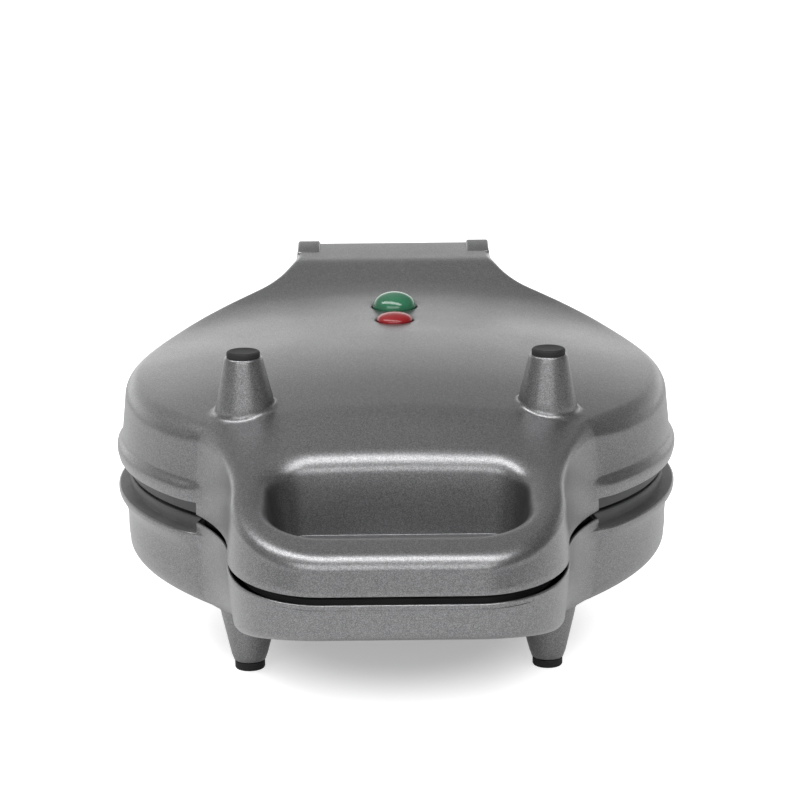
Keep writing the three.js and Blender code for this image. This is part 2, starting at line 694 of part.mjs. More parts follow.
// Cast plate: flat web with round cups, a raised rim, and a flange that sits under the frame
const cupPlaces = [];
const cupRings = 3;
for (let across = -cupRings; across <= cupRings; across += 1) {
  for (let up = -cupRings; up <= cupRings; up += 1) {
    const x = (across + up / 2) * cupPitch;
    const y = up * cupPitch * Math.sqrt(3) / 2;
    if (Math.hypot(x, y) + cupRadius < plateRadius - plateRimWidth) {
      cupPlaces.push([x, y]);
    }
  }
}
const webLevel = rimGap + webDepth;
function plateSolid(half) {
  const flange = plateRadius + plateFlangeReach;
  const rimInner = plateRadius - plateRimWidth;
  const disc = halfSolid(lathe([[0, webLevel], [rimInner - webDepth / 2, webLevel], [rimInner, rimGap],
    [plateRadius, rimGap], [plateRadius, flangeTop], [flange, flangeTop],
    [flange, flangeTop + plateFlangeThick], [plateRadius, flangeTop + plateFlangeThick],
    [plateRadius - plateRimWidth / 2, plateBack], [0, plateBack]], plateSides), half);
  const cups = cupPlaces.map(([x, y]) => halfSolid(new THREE.SphereGeometry(cupRadius, 7, 4)
    .rotateX(Math.PI / 2).translate(x, y, webLevel - seatGap), half));
  const bosses = platePlaces.map(([x, y]) => (
    levelRod(bossRadius, plateBack - seatGap, panLevel - seatGap, x, y, half)));
  const holes = platePlaces.map(([x, y]) => (
    levelRod(screwHole, plateBack + seatGap, panLevel + overrun, x, y, half)));
  return cut(joined([disc, ...bosses]), [...cups, ...holes]);
}

// Tubular heater: an open ring whose two ends bend away through the pan
const heaterOpenTurn = THREE.MathUtils.degToRad(14);
const heaterSteps = 28;
const heaterBend = 2 * heaterTube;
const ringPoint = (turn, level) => vector(heaterRadius * Math.sin(turn), heaterRadius * Math.cos(turn),
  level);
const legPlaces = both((side) => ringPoint(side * heaterOpenTurn, 0)).map(({ x, y }) => [x, y]);
function heaterSolid(half) {
  const legTurn = heaterOpenTurn;
  const ringTurn = legTurn + heaterBend / heaterRadius;
  const legTop = heaterLevel + 2 * heaterBend;
  const bend = (from, to) => new THREE.QuadraticBezierCurve3(
    ringPoint(...from), ringPoint(legTurn * Math.sign(to[0] + from[0]), heaterLevel), ringPoint(...to));
  const ringPoints = Array.from({ length: heaterSteps + 1 }, (_, step) => ringPoint(
    THREE.MathUtils.lerp(ringTurn, 2 * Math.PI - ringTurn, step / heaterSteps), heaterLevel));
  const path = new THREE.CurvePath();
  const legFoot = heaterLevel + heaterBend;
  path.add(new THREE.LineCurve3(ringPoint(legTurn, legTop), ringPoint(legTurn, legFoot)));
  path.add(bend([legTurn, legFoot], [ringTurn, heaterLevel]));
  path.add(new THREE.CatmullRomCurve3(ringPoints));
  path.add(bend([-ringTurn, heaterLevel], [-legTurn, legFoot]));
  path.add(new THREE.LineCurve3(ringPoint(-legTurn, legFoot), ringPoint(-legTurn, legTop)));
  const sides = 6;
  const section = new THREE.Shape(Array.from({ length: sides }, (_, i) => new THREE.Vector2(
    heaterTube * Math.cos(i / sides * 2 * Math.PI), heaterTube * Math.sin(i / sides * 2 * Math.PI))));
  return halfSolid(new THREE.ExtrudeGeometry(section,
    { steps: 40, bevelEnabled: false, extrudePath: path }), half);
}

// Reflector pan behind the heater
function panSolid(half) {
  const pan = halfSolid(lathe([[0, panLevel], [panRadius - 2 * panThick, panLevel],
    [panRadius - panThick, plateBack + seatGap], [panRadius, plateBack + seatGap],
    [panRadius - panThick, panLevel + panThick], [0, panLevel + panThick]], 24), half);
  const hole = (radius, [x, y]) => (
    levelRod(radius, panLevel - overrun, panLevel + 2 * overrun, x, y, half));
  return cut(pan, [...platePlaces.map((place) => hole(screwHole, place)),
    ...legPlaces.map((place) => hole(heaterBend + panThick, place)),
    hole(thermostatRadius + panThick, [0, thermostatBack])]);
}

const thermostatStep = panLevel + panThick + seatGap;
const thermostatSolid = (half) => halfSolid(lathe([[0, plateBack + seatGap],
  [thermostatRadius, plateBack + seatGap], [thermostatRadius, thermostatStep],
  [thermostatCapRadius, thermostatStep], [thermostatCapRadius, thermostatStep + wall],
  [0, thermostatStep + wall]], 16).translate(0, thermostatBack, 0), half);

const plateScrewSolid = ([x, y], half) => halfSolid(lathe(screwProfile(
  panLevel + panThick + seatGap + screwHeadHeight, plateBack + 2 * seatGap), 8)
  .translate(x, y, 0), half);

function fuseSolid() {
  const end = fuseLength / 2;
  const geometry = lathe([[0, -end], [fuseRadius / 2, -end], [fuseRadius, -end + fuseRadius],
    [fuseRadius, end - fuseRadius], [fuseRadius / 2, end], [0, end]], 10).rotateY(Math.PI / 2);
  return halfSolid(geometry.translate(0, -fuseForward, plateBack + seatGap + fuseRadius), base);
}

const materials = {
  shell: [shellGrey, 0.38, 0.55],
  plastic: [blackPlastic, 0.55, 0],
  rubber: [rubberBlack, 0.85, 0],
  cast: [castGrey, 0.5, 0.3],
  steel: [steelGrey, 0.3, 0.9],
};
const model = new THREE.Group();
model.position.y = (handleReach - rearReach) / 2;
function add(name, solid, [color, roughness, metalness]) {
  const material = new THREE.MeshStandardMaterial({ color, roughness, metalness });
  const mesh = new THREE.Mesh(toGeometry(solid), material);
  mesh.name = name;
  model.add(mesh);
}
const sideNames = ['left', 'right'];

add('base_shell', cut(baseBody, baseCuts), materials.shell);
add('lid_shell', cut(lidBody, lidCuts), materials.shell);

sideNames.forEach((side, i) => {
  const x = (i * 2 - 1);
  add(`peg_cap_${side}`, upright(capProfile, x * pegAcross, -pegForward, 12), materials.rubber);
  add(`front_foot_pad_${side}`, upright(padProfile(footPadHeight), x * pegAcross, -footForward, 12),
    materials.rubber);
  add(`rear_foot_pad_${side}`, upright(padProfile(rearPadTop), x * rearPadAcross, rearPadBack, 12),
    materials.rubber);
  const pinEnds = [x * lugInner, x * (neckHalf - seatGap)].sort((a, b) => a - b);
  add(`hinge_pin_${side}`, crossRod(pinRadius, ...pinEnds, hingeBack, splitHeight), materials.steel);
});

[['lower', base], ['upper', lid]].forEach(([place, half]) => {
  add(`${place}_frame`, frameSolid(half), materials.plastic);
  add(`${place}_cup_plate`, plateSolid(half), materials.cast);
  add(`${place}_heater`, heaterSolid(half), materials.steel);
  add(`${place}_reflector`, panSolid(half), materials.steel);
  add(`${place}_thermostat`, thermostatSolid(half), materials.steel);
  platePlaces.forEach((screwPlace, i) => {
    add(`${place}_plate_screw_${sideNames[i]}`, plateScrewSolid(screwPlace, half), materials.steel);
  });
});

add('thermal_fuse', fuseSolid(), materials.steel);

const lidScrew = screwProfile(splitHeight + rimGap, splitHeight + sinkLevel - overrun);
const baseScrew = screwProfile(splitHeight - sinkLevel - seatGap - screwHeadHeight,
  splitHeight - frameTop - 2 * seatGap);
framePlaces.forEach(([x, y], i) => {
  add(`lid_screw_${i + 1}`, upright(lidScrew, x, y, 8), materials.steel);
  add(`base_screw_${i + 1}`, upright(baseScrew, x, y, 8), materials.steel);
});

// Profiles from the middle outwards, or from the foot up, as shares of radius and height
const domeShares = [[0, 1], [0.4, 0.88], [0.75, 0.5], [1, 0]];
const lampShares = [[0, 0], [0.5, 0], [0.7, 0.25], [0.7, 0.6], [0, 0.75]];
lenses.forEach(({ name, radius, dome, color, seat }) => {
  const stem = radius * lensStemShare;
  const fall = seat.height - holderTop - seatGap - stem * Math.sin(seat.tilt);
  const depth = fall / Math.cos(seat.tilt);
  const bore = stem - lensWall;
  const lensProfile = [
    ...domeShares.map(([across, rise]) => [radius * across, lensWall + dome * rise]),
    [radius, seatGap], [stem, seatGap], [stem, -depth], [bore, -depth], [bore, 0], [0, 0]];
  const lampProfile = lampShares.map(([across, rise]) => [bore * across, depth * rise]);
  const lampBack = seat.back + depth * Math.sin(seat.tilt) / 2;
  add(`${name}_lens`, onSeat(lathe(lensProfile), seat), [color, 0.15, 0]);
  add(`${name}_lamp`, toSolid(lathe(lampProfile, 10).translate(0, lampBack, holderTop + seatGap)),
    materials.steel);
});
const holderPlate = box(
  vector(-powerLensRadius, powerLensBack - readyLensRadius, holderTop - wall),
  vector(powerLensRadius, readyLensBack + readyLensRadius, holderTop),
);
const holderRibs = both((side) => box(
  vector(side * powerLensRadius - wall / 2, powerLensBack - readyLensRadius, holderTop - 2 * wall),
  vector(side * powerLensRadius + wall / 2, readyLensBack + readyLensRadius, holderTop),
));
add('lamp_holder', joined([holderPlate, ...holderRibs]), materials.plastic);

// Terminal block: a foot with one raised screw post for each wire
const blockFoot = box(
  vector(-blockWidth / 2, blockBack - blockLength / 2, blockSeatTop + seatGap),
  vector(blockWidth / 2, blockBack + blockLength / 2, blockSeatTop + blockHeight / 2),
);
const blockPosts = [-1, 0, 1].map((place) => rod(blockLength / 4, blockSeatTop + wall,
  blockSeatTop + blockHeight, place * blockWidth / 3, blockBack));
add('terminal_block', joined([blockFoot, ...blockPosts]), materials.plastic);

add('cord_inlet_bushing', lengthRod([[inletRadius, inletFace - 5 * wall],
  [inletSleeve, inletFace - 5 * wall], [inletSleeve, inletFace + seatGap],
  [inletFlange, inletFace + seatGap], [inletFlange, inletFace + wall / 2],
  [inletRadius, inletFace + wall / 2], [inletRadius, inletFace - 5 * wall]], 0, inletHeight, 16),
materials.rubber);

export default model;
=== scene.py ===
from math import acos, atan2, cos, degrees, hypot, pi, radians, sin, sqrt

import bpy
from mathutils import Matrix, Quaternion, Vector
from mathutils.geometry import delaunay_2d_cdt


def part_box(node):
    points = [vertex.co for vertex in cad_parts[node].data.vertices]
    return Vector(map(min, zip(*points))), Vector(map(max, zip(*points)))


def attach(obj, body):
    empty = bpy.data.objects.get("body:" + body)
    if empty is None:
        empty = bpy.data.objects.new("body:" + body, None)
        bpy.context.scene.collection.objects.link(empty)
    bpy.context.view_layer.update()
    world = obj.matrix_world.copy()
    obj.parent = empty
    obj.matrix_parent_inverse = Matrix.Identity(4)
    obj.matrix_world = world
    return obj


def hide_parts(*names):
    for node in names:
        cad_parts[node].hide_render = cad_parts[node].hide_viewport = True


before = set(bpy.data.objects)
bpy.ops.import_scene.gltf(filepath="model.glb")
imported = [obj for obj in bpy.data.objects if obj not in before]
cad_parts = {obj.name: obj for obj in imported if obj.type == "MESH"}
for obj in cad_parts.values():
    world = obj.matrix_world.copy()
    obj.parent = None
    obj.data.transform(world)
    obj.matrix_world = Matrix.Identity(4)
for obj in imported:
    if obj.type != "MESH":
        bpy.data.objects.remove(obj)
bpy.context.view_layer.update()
print("frame loaded:", len(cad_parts), "nodes")

mm = 0.001
middleY = 16  # the round body's middle sits this far behind the middle of the whole part
splitHeight = 61  # the halves meet at this height
hingeY, rearWallY = 130, 144


def place(x, y, z):
    return Vector((x, y + middleY, z)) * mm


# plan and heights of both halves, in millimetres from the round body's middle
plan = {
    "bodyRadius": 110, "handleReach": 176, "handleHalf": 61, "cornerAcross": 35, "cornerAlong": 47,
    "handleFillet": 90.04, "neckHalf": 45, "flankTurn": radians(50), "rearReach": 144,
}
fullRear = {"reach": 144, "fillet": 42, "corner": 9}
collarRear = {"reach": 116, "fillet": 6, "corner": 3}
lid = {
    "side": 1, "rise": 50,
    "heights": [(-1, 0.28), (-0.977, 0.3), (-0.63, 0.612), (-0.477, 0.802), (-0.426, 0.852), (-0.227, 0.95),
                (0, 1), (0.347, 1.01), (0.52, 1.03), (0.625, 1.075), (0.695, 1.13), (0.764, 1.187),
                (0.83, 1.206), (1, 1.244)],
}
base = {
    "side": -1, "rise": 48,
    "heights": [(-1, 0.3), (-0.977, 0.32), (-0.63, 0.66), (-0.477, 0.85), (-0.426, 0.89), (-0.227, 0.97),
                (0, 1), (0.45, 1), (0.625, 1.03), (0.764, 1.13), (0.86, 1.16), (1, 1.16)],
}
shoulder = {"bend": 0.56, "radius": 7.5, "steps": 12, "room": 1.1, "over": 0.5, "footHeight": 0.6}
crownSag = 16
sagPlaces = [(-1, 0), (-0.74, 0.05), (-0.6, 0.45), (-0.5, 0.85), (-0.42, 1), (0, 0.91), (0.35, 0.85),
             (0.5, 0.66), (0.6, 0.42), (0.68, 0.2), (0.76, 0.05), (0.82, 0), (1, 0)]
rollRear = [(-0.1, 0.76), (0.15, 0.66), (0.5, 0.64), (0.75, 0.5), (0.9, 0.4), (1, 0.4)]
lid["roll"] = [(-1, 0.68), (-0.9, 0.68), (-0.78, 0.58), (-0.63, 0.42), (-0.52, 0.48), (-0.44, 0.8),
               (-0.36, 0.95)] + rollRear
base["roll"] = [(-1, 0.42), (-0.9, 0.45), (-0.72, 0.7), (-0.5, 0.95), (-0.4, 1)] + rollRear


def along(table, where):
    if where <= table[0][0]:
        return table[0][1]
    if where >= table[-1][0]:
        return table[-1][1]
    i = next(k for k, (station, _) in enumerate(table) if station > where) - 1

    def slope(k):
        before, after = table[max(k - 1, 0)], table[min(k + 1, len(table) - 1)]
        return (after[1] - before[1]) / (after[0] - before[0])

    start, end = table[i], table[i + 1]
    width = end[0] - start[0]
    t = (where - start[0]) / width
    rise = end[1] - start[1]
    first, second = slope(i) * width, slope(i + 1) * width
    return start[1] + t * (first + t * (3 * rise - 2 * first - second + t * (first + second - 2 * rise)))


def lengthShare(y):
    return y / (plan["handleReach"] if y < 0 else plan["rearReach"])


def skin(half, x, y):
    share = lengthShare(y)
    sag = crownSag * along(sagPlaces, share) * (x / plan["bodyRadius"]) ** 2
    return half["rise"] * along(half["heights"], share) - sag


def skinHeight(half, x, y):
    return splitHeight + half["side"] * skin(half, x, y)


def smooth(value):
    value = min(max(value, 0), 1)
    return value * value * (3 - 2 * value)


def mix(a, b, share):
    return a + (b - a) * share


def quarterTurns(steps, first=0):
    return [step / steps * pi / 2 for step in range(first, steps + 1)]


# stations run from the handle's front middle round the +X side to the rear middle
sections = [("front", 12), ("corner", 26), ("fillet", 22), ("body", 96), ("flank", 14),
            ("neckFillet", 14), ("neck", 12), ("rearCorner", 10), ("rear", 18)]
# these begin with a narrow step, for a sharp edge where the lip and the skirt begin and end
narrowSteps = {"body": [0.0016], "neckFillet": [0.02]}
stations = []
for section, steps in sections:
    shares = [0] + narrowSteps.get(section, []) + [step / steps for step in range(1, steps)]
    stations += [(section, share) for share in shares]
stations.append(("rear", 1))


def outlinePoint(station, inset, rear):
    section, share = station
    body, turnEnd = plan["bodyRadius"], plan["flankTurn"]
    reach, half = plan["handleReach"], plan["handleHalf"]
    cornerX, cornerY = half - plan["cornerAcross"], reach - plan["cornerAlong"]
    radius = body - inset
    filletX, filletR = half + plan["handleFillet"], plan["handleFillet"] + inset
    span = hypot(filletX, cornerY)
    spread = acos((radius ** 2 + span ** 2 - filletR ** 2) / (2 * radius * span))
    stepTurn = -atan2(cornerY, filletX) - spread
    normalX, normalY = cos(turnEnd), sin(turnEnd)
    neckX, neckR = plan["neckHalf"] + rear["fillet"], rear["fillet"] + inset
    neckY = (body + rear["fillet"] - neckX * normalX) / normalY
    rearR = max(rear["corner"] - inset, 0.3)
    rearX, rearY = plan["neckHalf"] - inset - rearR, rear["reach"] - inset - rearR
    turn = share * pi / 2
    if section == "front":
        return share * cornerX, inset - reach
    if section == "corner":
        return (cornerX + (plan["cornerAcross"] - inset) * sin(turn),
                -cornerY - (plan["cornerAlong"] - inset) * cos(turn))
    if section == "fillet":
        turn = share * atan2(radius * sin(stepTurn) + cornerY, filletX - radius * cos(stepTurn))
        return filletX - filletR * cos(turn), filletR * sin(turn) - cornerY
    if section == "body":
        turn = mix(stepTurn, turnEnd, share)
        return radius * cos(turn), radius * sin(turn)
    if section == "flank":
        return (mix(radius * normalX, neckX - neckR * normalX, share),
                mix(radius * normalY, neckY - neckR * normalY, share))
    if section == "neckFillet":
        turn = mix(turnEnd, 0, share)
        return neckX - neckR * cos(turn), neckY - neckR * sin(turn)
    if section == "neck":
        return plan["neckHalf"] - inset, mix(neckY, rearY, share)
    if section == "rearCorner":
        return rearX + rearR * cos(turn), rearY + rearR * sin(turn)
    return mix(rearX, 0, share), rear["reach"] - inset


# how far each station lies past the start of the round body, and before the end of its flank
bodyStart = stations.index(("body", 0))
flankEnd = stations.index(("neckFillet", 0))
walked = [0]
for before, after in zip(stations, stations[1:]):
    a, b = outlinePoint(before, 0, fullRear), outlinePoint(after, 0, fullRear)
    walked.append(walked[-1] + hypot(b[0] - a[0], b[1] - a[1]))
pastStart = [reach - walked[bodyStart] for reach in walked]
beforeEnd = [walked[flankEnd] - reach for reach in walked]
sharp = [1 if bodyStart < i <= flankEnd else 0 for i in range(len(stations))]


def faded(startLead, startSpan, endLead, endSpan):
    return [smooth((start + startLead) / startSpan) * smooth((end + endLead) / endSpan)
            for start, end in zip(pastStart, beforeEnd)]


fading = faded(7, 15, 2, 12)
soft = faded(22, 44, 12, 24)


def mirrored(right):
    return right + [(-x, y, z) for x, y, z in reversed(right[1:-1])]


def wallRings(half, rows, draft, lowest):
    # each row has a level and an inset made of an edge, a sharp, a fading and a soft share;
    # the rolled shoulder follows them
    start, end = rows[0][0], rows[-1][0]
    rings, rolls, bend = [], [], shoulder["bend"]
    for station in stations:
        x0, y0 = outlinePoint(station, draft, fullRear)
        roll = shoulder["radius"] * along(half["roll"], lengthShare(y0))
        x1, y1 = outlinePoint(station, draft + roll, fullRear)
        rolls.append((roll, skin(half, x0, y0), skin(half, x1, y1)))
    for level, edge, sunk, proud, sag, rear in rows:
        ring = []
        for i, station in enumerate(stations):
            roll, corner, _ = rolls[i]
            # where the shoulder sits low, the rows below it move closer together
            room = (corner - roll * shoulder["room"] - start) / (end + shoulder["over"] - start)
            inset = edge + sunk * sharp[i] - proud * fading[i] + sag * soft[i]
            height = start + (level - start) * min(1, room)
            lean = draft * (1 - fading[i]) * max(height - start, 0) / (corner - roll - start)
            x, y = outlinePoint(station, inset + lean, rear)
            if level < start + shoulder["footHeight"]:
                height = lowest(i, x, y) + level - start
            ring.append((x, y, splitHeight + half["side"] * height))
        rings.append(mirrored(ring))
    for step in range(shoulder["steps"] + 1):
        t = step / shoulder["steps"]
        ring = []
        for i, station in enumerate(stations):
            roll, corner, top = rolls[i]
            low = corner - roll
            levels = [low, mix(low, corner, bend), mix(top, corner, bend), top]
            insets = [0, 0, roll * (1 - bend), roll]
            weights = [(1 - t) ** 3, 3 * t * (1 - t) ** 2, 3 * t * t * (1 - t), t ** 3]
            level = sum(w * v for w, v in zip(weights, levels))
            inset = draft + sum(w * v for w, v in zip(weights, insets))
            x, y = outlinePoint(station, inset, fullRear)
            ring.append((x, y, splitHeight + half["side"] * level))
        rings.append(mirrored(ring))
    return rings


def circle(x, y, radius, count):
    turns = [2 * pi * k / count for k in range(count)]
    return [(x + radius * cos(turn), y + radius * sin(turn)) for turn in turns]


def inside(point, ring):
    x, y = point
    found = False
    for k in range(len(ring)):
        (ax, ay), (bx, by) = ring[k - 1][:2], ring[k][:2]
        if (ay > y) != (by > y) and x < (bx - ax) * (y - ay) / (by - ay) + ax:
            found = not found
    return found


def clearOf(point, ring, gap):
    x, y = point
    return all(abs(px - x) > gap or abs(py - y) > gap or hypot(px - x, py - y) > gap
               for px, py in (p[:2] for p in ring))


def stackRings(verts, faces, rings, flip):
    # quads from ring to ring; returns the numbers of the last ring's corners
    count = len(rings[0])
    first = len(verts)
    for ring in rings:
        verts += [tuple(p) for p in ring]
    for level in range(len(rings) - 1):
        for k in range(count):
            a = first + level * count + k
            b = first + level * count + (k + 1) % count
            face = (a, b, b + count, a + count)
            faces.append(face[::-1] if flip else face)
    return list(range(first + (len(rings) - 1) * count, first + len(rings) * count))


# distances in the filled grid, as shares of its spacing
fill = {"rimGap": 0.7, "featureGap": 0.6, "rowStep": 0.87}


def fillSurface(verts, faces, rim, features, heightAt, spacing, flip):
    # triangles inside the rim; a feature is nested rings, and one with a floor has its own grid in the middle
    points = [Vector(verts[k][:2]) for k in rim]
    ids = list(rim)
    edges = [(k, (k + 1) % len(rim)) for k in range(len(rim))]
    rimRing = [verts[k] for k in rim]
    for feature in features:
        for ring in feature["rings"]:
            first = len(points)
            ids += range(len(verts), len(verts) + len(ring))
            verts += [tuple(p) for p in ring]
            points += [Vector(p[:2]) for p in ring]
            edges += [(first + k, first + (k + 1) % len(ring)) for k in range(len(ring))]
    lowX, lowY = (min(p[axis] for p in rimRing) for axis in (0, 1))
    highX, highY = (max(p[axis] for p in rimRing) for axis in (0, 1))
    row, y, gap = 0, lowY, spacing * fill["featureGap"]
    while y < highY:
        x = lowX + (row % 2) * spacing / 2
        while x < highX:
            spot = (x, y)
            if inside(spot, rimRing) and clearOf(spot, rimRing, spacing * fill["rimGap"]):
                height = heightAt(x, y)
                for feature in features:
                    outer, inner = feature["rings"][0], feature["rings"][-1]
                    if inside(spot, outer):
                        height = None
                        level = feature.get("floor")
                        if level and inside(spot, inner) and clearOf(spot, inner, gap):
                            height = level(x, y)
                        break
                    if not clearOf(spot, outer, gap):
                        height = None
                        break
                if height is not None:
                    ids.append(len(verts))
                    verts.append((x, y, height))
                    points.append(Vector(spot))
            x += spacing
        y += spacing * fill["rowStep"]
        row += 1
    made = delaunay_2d_cdt(points, edges, [], 1, 1e-6)
    for face in made[2]:
        corners = [ids[made[3][k][0]] if made[3][k] else None for k in face]
        if None not in corners and len(set(corners)) == 3:
            faces.append(tuple(reversed(corners)) if flip else tuple(corners))


def deselect():
    if bpy.context.object and bpy.context.object.mode != "OBJECT":
        bpy.ops.object.mode_set(mode="OBJECT")
    bpy.ops.object.select_all(action="DESELECT")


def choose(obj):
    deselect()
    obj.select_set(True)
    bpy.context.view_layer.objects.active = obj


def newObject(name, data):
    obj = bpy.data.objects.new(name, data)
    bpy.context.scene.collection.objects.link(obj)
    choose(obj)
    return obj


def editMesh(obj, *steps):
    # each step is an edit-mode operator with its settings, run on the whole mesh
    choose(obj)
    bpy.ops.object.mode_set(mode="EDIT")
    for operator, settings in steps:
        bpy.ops.mesh.select_all(action="SELECT")
        operator(**settings)
    bpy.ops.object.mode_set(mode="OBJECT")


outwards = (bpy.ops.mesh.normals_make_consistent, {"inside": False})


def meshObject(name, verts, faces, dark=()):
    # faces named dark take the second material, a darker plastic that is partly painted shade under the bead
    # and over the lip
    mesh = bpy.data.meshes.new(name)
    mesh.from_pydata([place(*v) for v in verts], [], faces)
    for face in dark:
        mesh.polygons[face].material_index = 1
    obj = newObject(name, mesh)
    editMesh(obj, (bpy.ops.mesh.remove_doubles, {"threshold": 0.001 * mm}), (bpy.ops.mesh.delete_loose, {}))
    return obj


def applyModifier(obj, kind, **settings):
    choose(obj)
    modifier = obj.modifiers.new(kind.title(), kind)
    for key, value in settings.items():
        setattr(modifier, key, value)
    bpy.ops.object.modifier_apply(modifier=modifier.name)


def softenEdges(obj, width, angle=30, segments=3):
    applyModifier(obj, "BEVEL", width=width * mm, segments=segments, limit_method="ANGLE",
                  angle_limit=radians(angle))


def carve(obj, cutters, operation="DIFFERENCE"):
    # cutters that don't touch each other go in one cut
    cutter = joinAll(cutters[0], cutters[1:])
    applyModifier(obj, "BOOLEAN", object=cutter, operation=operation, solver="EXACT")
    bpy.data.objects.remove(cutter)


def finishPiece(obj, body, finish, node, angle=35):
    choose(obj)
    if not obj.data.materials:
        obj.data.materials.append(finishes[finish])
    bpy.ops.object.shade_smooth_by_angle(angle=radians(angle))
    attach(obj, body)
    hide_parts(node)


def spun(name, profile, steps, at, axis="Z", bevel=0):
    # profile is (radius, height) from one end of the axis to the other
    mesh = bpy.data.meshes.new(name)
    mesh.from_pydata([(radius * mm, 0, height * mm) for radius, height in profile],
                     [(k, k + 1) for k in range(len(profile) - 1)], [])
    obj = newObject(name, mesh)
    around = {"steps": steps, "angle": 2 * pi, "center": (0, 0, 0), "axis": (0, 0, 1)}
    editMesh(obj, (bpy.ops.mesh.spin, around), (bpy.ops.mesh.remove_doubles, {"threshold": 0.002 * mm}),
             outwards)
    if bevel:
        softenEdges(obj, bevel, 28)
    turn = {"Z": Matrix.Identity(4), "X": Matrix.Rotation(pi / 2, 4, "Y"),
            "Y": Matrix.Rotation(-pi / 2, 4, "X")}[axis]
    obj.data.transform(Matrix.Translation(place(*at)) @ turn)
    return obj


def rod(name, radius, low, high, steps, at, axis="Z"):
    # a plain solid to cut a round hole with
    return spun(name, [(0, low), (radius, low), (radius, high), (0, high)], steps, at, axis)


def copied(obj, name, matrix):
    twin = obj.copy()
    twin.data = obj.data.copy()
    twin.name = name
    twin.data.name = name
    bpy.context.scene.collection.objects.link(twin)
    twin.data.transform(matrix)
    if matrix.determinant() < 0:
        twin.data.flip_normals()
    return twin


def brick(name, low, high, bevel=0, segments=3):
    deselect()
    size = [(b - a) * mm for a, b in zip(low, high)]
    middle = place(*[(a + b) / 2 for a, b in zip(low, high)])
    bpy.ops.mesh.primitive_cube_add(size=1, location=middle, scale=size)
    obj = bpy.context.object
    obj.name = name
    bpy.ops.object.transform_apply(location=True, rotation=True, scale=True)
    if bevel:
        softenEdges(obj, bevel, segments=segments)
    return obj


def joinAll(first, others):
    # a piece without a finish takes the first one's
    choose(first)
    for other in others:
        if first.data.materials and not other.data.materials:
            other.data.materials.append(first.data.materials[0])
        other.select_set(True)
    bpy.ops.object.join()
    return first


# shader node groups that several finishes share
def newGroup(name, inputs, outputs):
    group = bpy.data.node_groups.new(name, "ShaderNodeTree")
    for label, kind, value in inputs:
        socket = group.interface.new_socket(label, in_out="INPUT", socket_type=kind)
        socket.default_value = value
    for label, kind in outputs:
        group.interface.new_socket(label, in_out="OUTPUT", socket_type=kind)
    return group, group.nodes.new("NodeGroupInput"), group.nodes.new("NodeGroupOutput")


def addNode(tree, kind, links=(), **settings):
    node = tree.nodes.new(kind)
    for key, value in settings.items():
        if key.startswith("in_"):
            label = key[3:]
            node.inputs[int(label) if label.isdigit() else label].default_value = value
        else:
            setattr(node, key, value)
    for source, socket in links:
        tree.links.new(source, node.inputs[socket])
    return node


def addNoise(tree, vector, scale, detail, roughness=0.5):
    # the scale is a number or another node's output
    node = addNode(tree, "ShaderNodeTexNoise", [(vector, "Vector")], in_Detail=detail, in_Roughness=roughness)
    if isinstance(scale, (int, float)):
        node.inputs["Scale"].default_value = scale
    else:
        tree.links.new(scale, node.inputs["Scale"])
    return node.outputs["Fac"]


def addMath(tree, operation, *sources, clamp=False):
    # sources are other nodes' outputs or plain numbers
    node = addNode(tree, "ShaderNodeMath", operation=operation, use_clamp=clamp)
    for k, source in enumerate(sources):
        if isinstance(source, (int, float)):
            node.inputs[k].default_value = source
        else:
            tree.links.new(source, node.inputs[k])
    return node.outputs[0]


def addRange(tree, source, low, high, toLow, toHigh, kind="SMOOTHSTEP"):
    node = addNode(tree, "ShaderNodeMapRange", [(source, "Value")], interpolation_type=kind)
    for label, value in (("From Min", low), ("From Max", high), ("To Min", toLow), ("To Max", toHigh)):
        node.inputs[label].default_value = value
    return node.outputs["Result"]


def makeFlake():
    # tiny metal flakes in the paint: each cell has its own brightness and its own slight tilt
    number = "NodeSocketFloat"
    group, start, end = newGroup("flakeSpeckle", [("Scale", number, 2600), ("Cloud", number, 40)],
                                 [("Speckle", number), ("Cloud", number), ("Height", number)])
    spot = addNode(group, "ShaderNodeTexCoord").outputs["Object"]
    cells = addNode(group, "ShaderNodeTexVoronoi", [(spot, "Vector"), (start.outputs["Scale"], "Scale")],
                    in_Randomness=1)
    split = addNode(group, "ShaderNodeSeparateColor", [(cells.outputs["Color"], "Color")]).outputs
    fine = addNoise(group, spot, start.outputs["Scale"], 3, 0.6)
    group.links.new(addMath(group, "MULTIPLY", split["Red"], fine), end.inputs["Speckle"])
    group.links.new(addNoise(group, spot, start.outputs["Cloud"], 4, 0.55), end.inputs["Cloud"])
    group.links.new(split["Green"], end.inputs["Height"])
    return group


def makeGrain():
    # moulded or cast skin: fine pits over slow waves
    number = "NodeSocketFloat"
    group, start, end = newGroup("mouldGrain", [("Scale", number, 900), ("Waves", number, 60)],
                                 [("Height", number), ("Waves", number)])
    spot = addNode(group, "ShaderNodeTexCoord").outputs["Object"]
    group.links.new(addNoise(group, spot, start.outputs["Scale"], 5, 0.65), end.inputs["Height"])
    group.links.new(addNoise(group, spot, start.outputs["Waves"], 3, 0.5), end.inputs["Waves"])
    return group


def makeBrush():
    # drawn or rolled metal: noise stretched along one axis
    number = "NodeSocketFloat"
    group, start, end = newGroup("drawnMetal",
                                 [("Scale", number, 700), ("Stretch", "NodeSocketVector", (1, 0.04, 1))],
                                 [("Lines", number), ("Stain", number)])
    spot = addNode(group, "ShaderNodeTexCoord").outputs["Object"]
    spread = addNode(group, "ShaderNodeVectorMath", [(spot, 0), (start.outputs["Stretch"], 1)],
                     operation="MULTIPLY")
    group.links.new(addNoise(group, spread.outputs[0], start.outputs["Scale"], 4, 0.7), end.inputs["Lines"])
    group.links.new(addNoise(group, spot, 45, 5), end.inputs["Stain"])
    return group


flakeGroup, grainGroup, brushGroup = makeFlake(), makeGrain(), makeBrush()


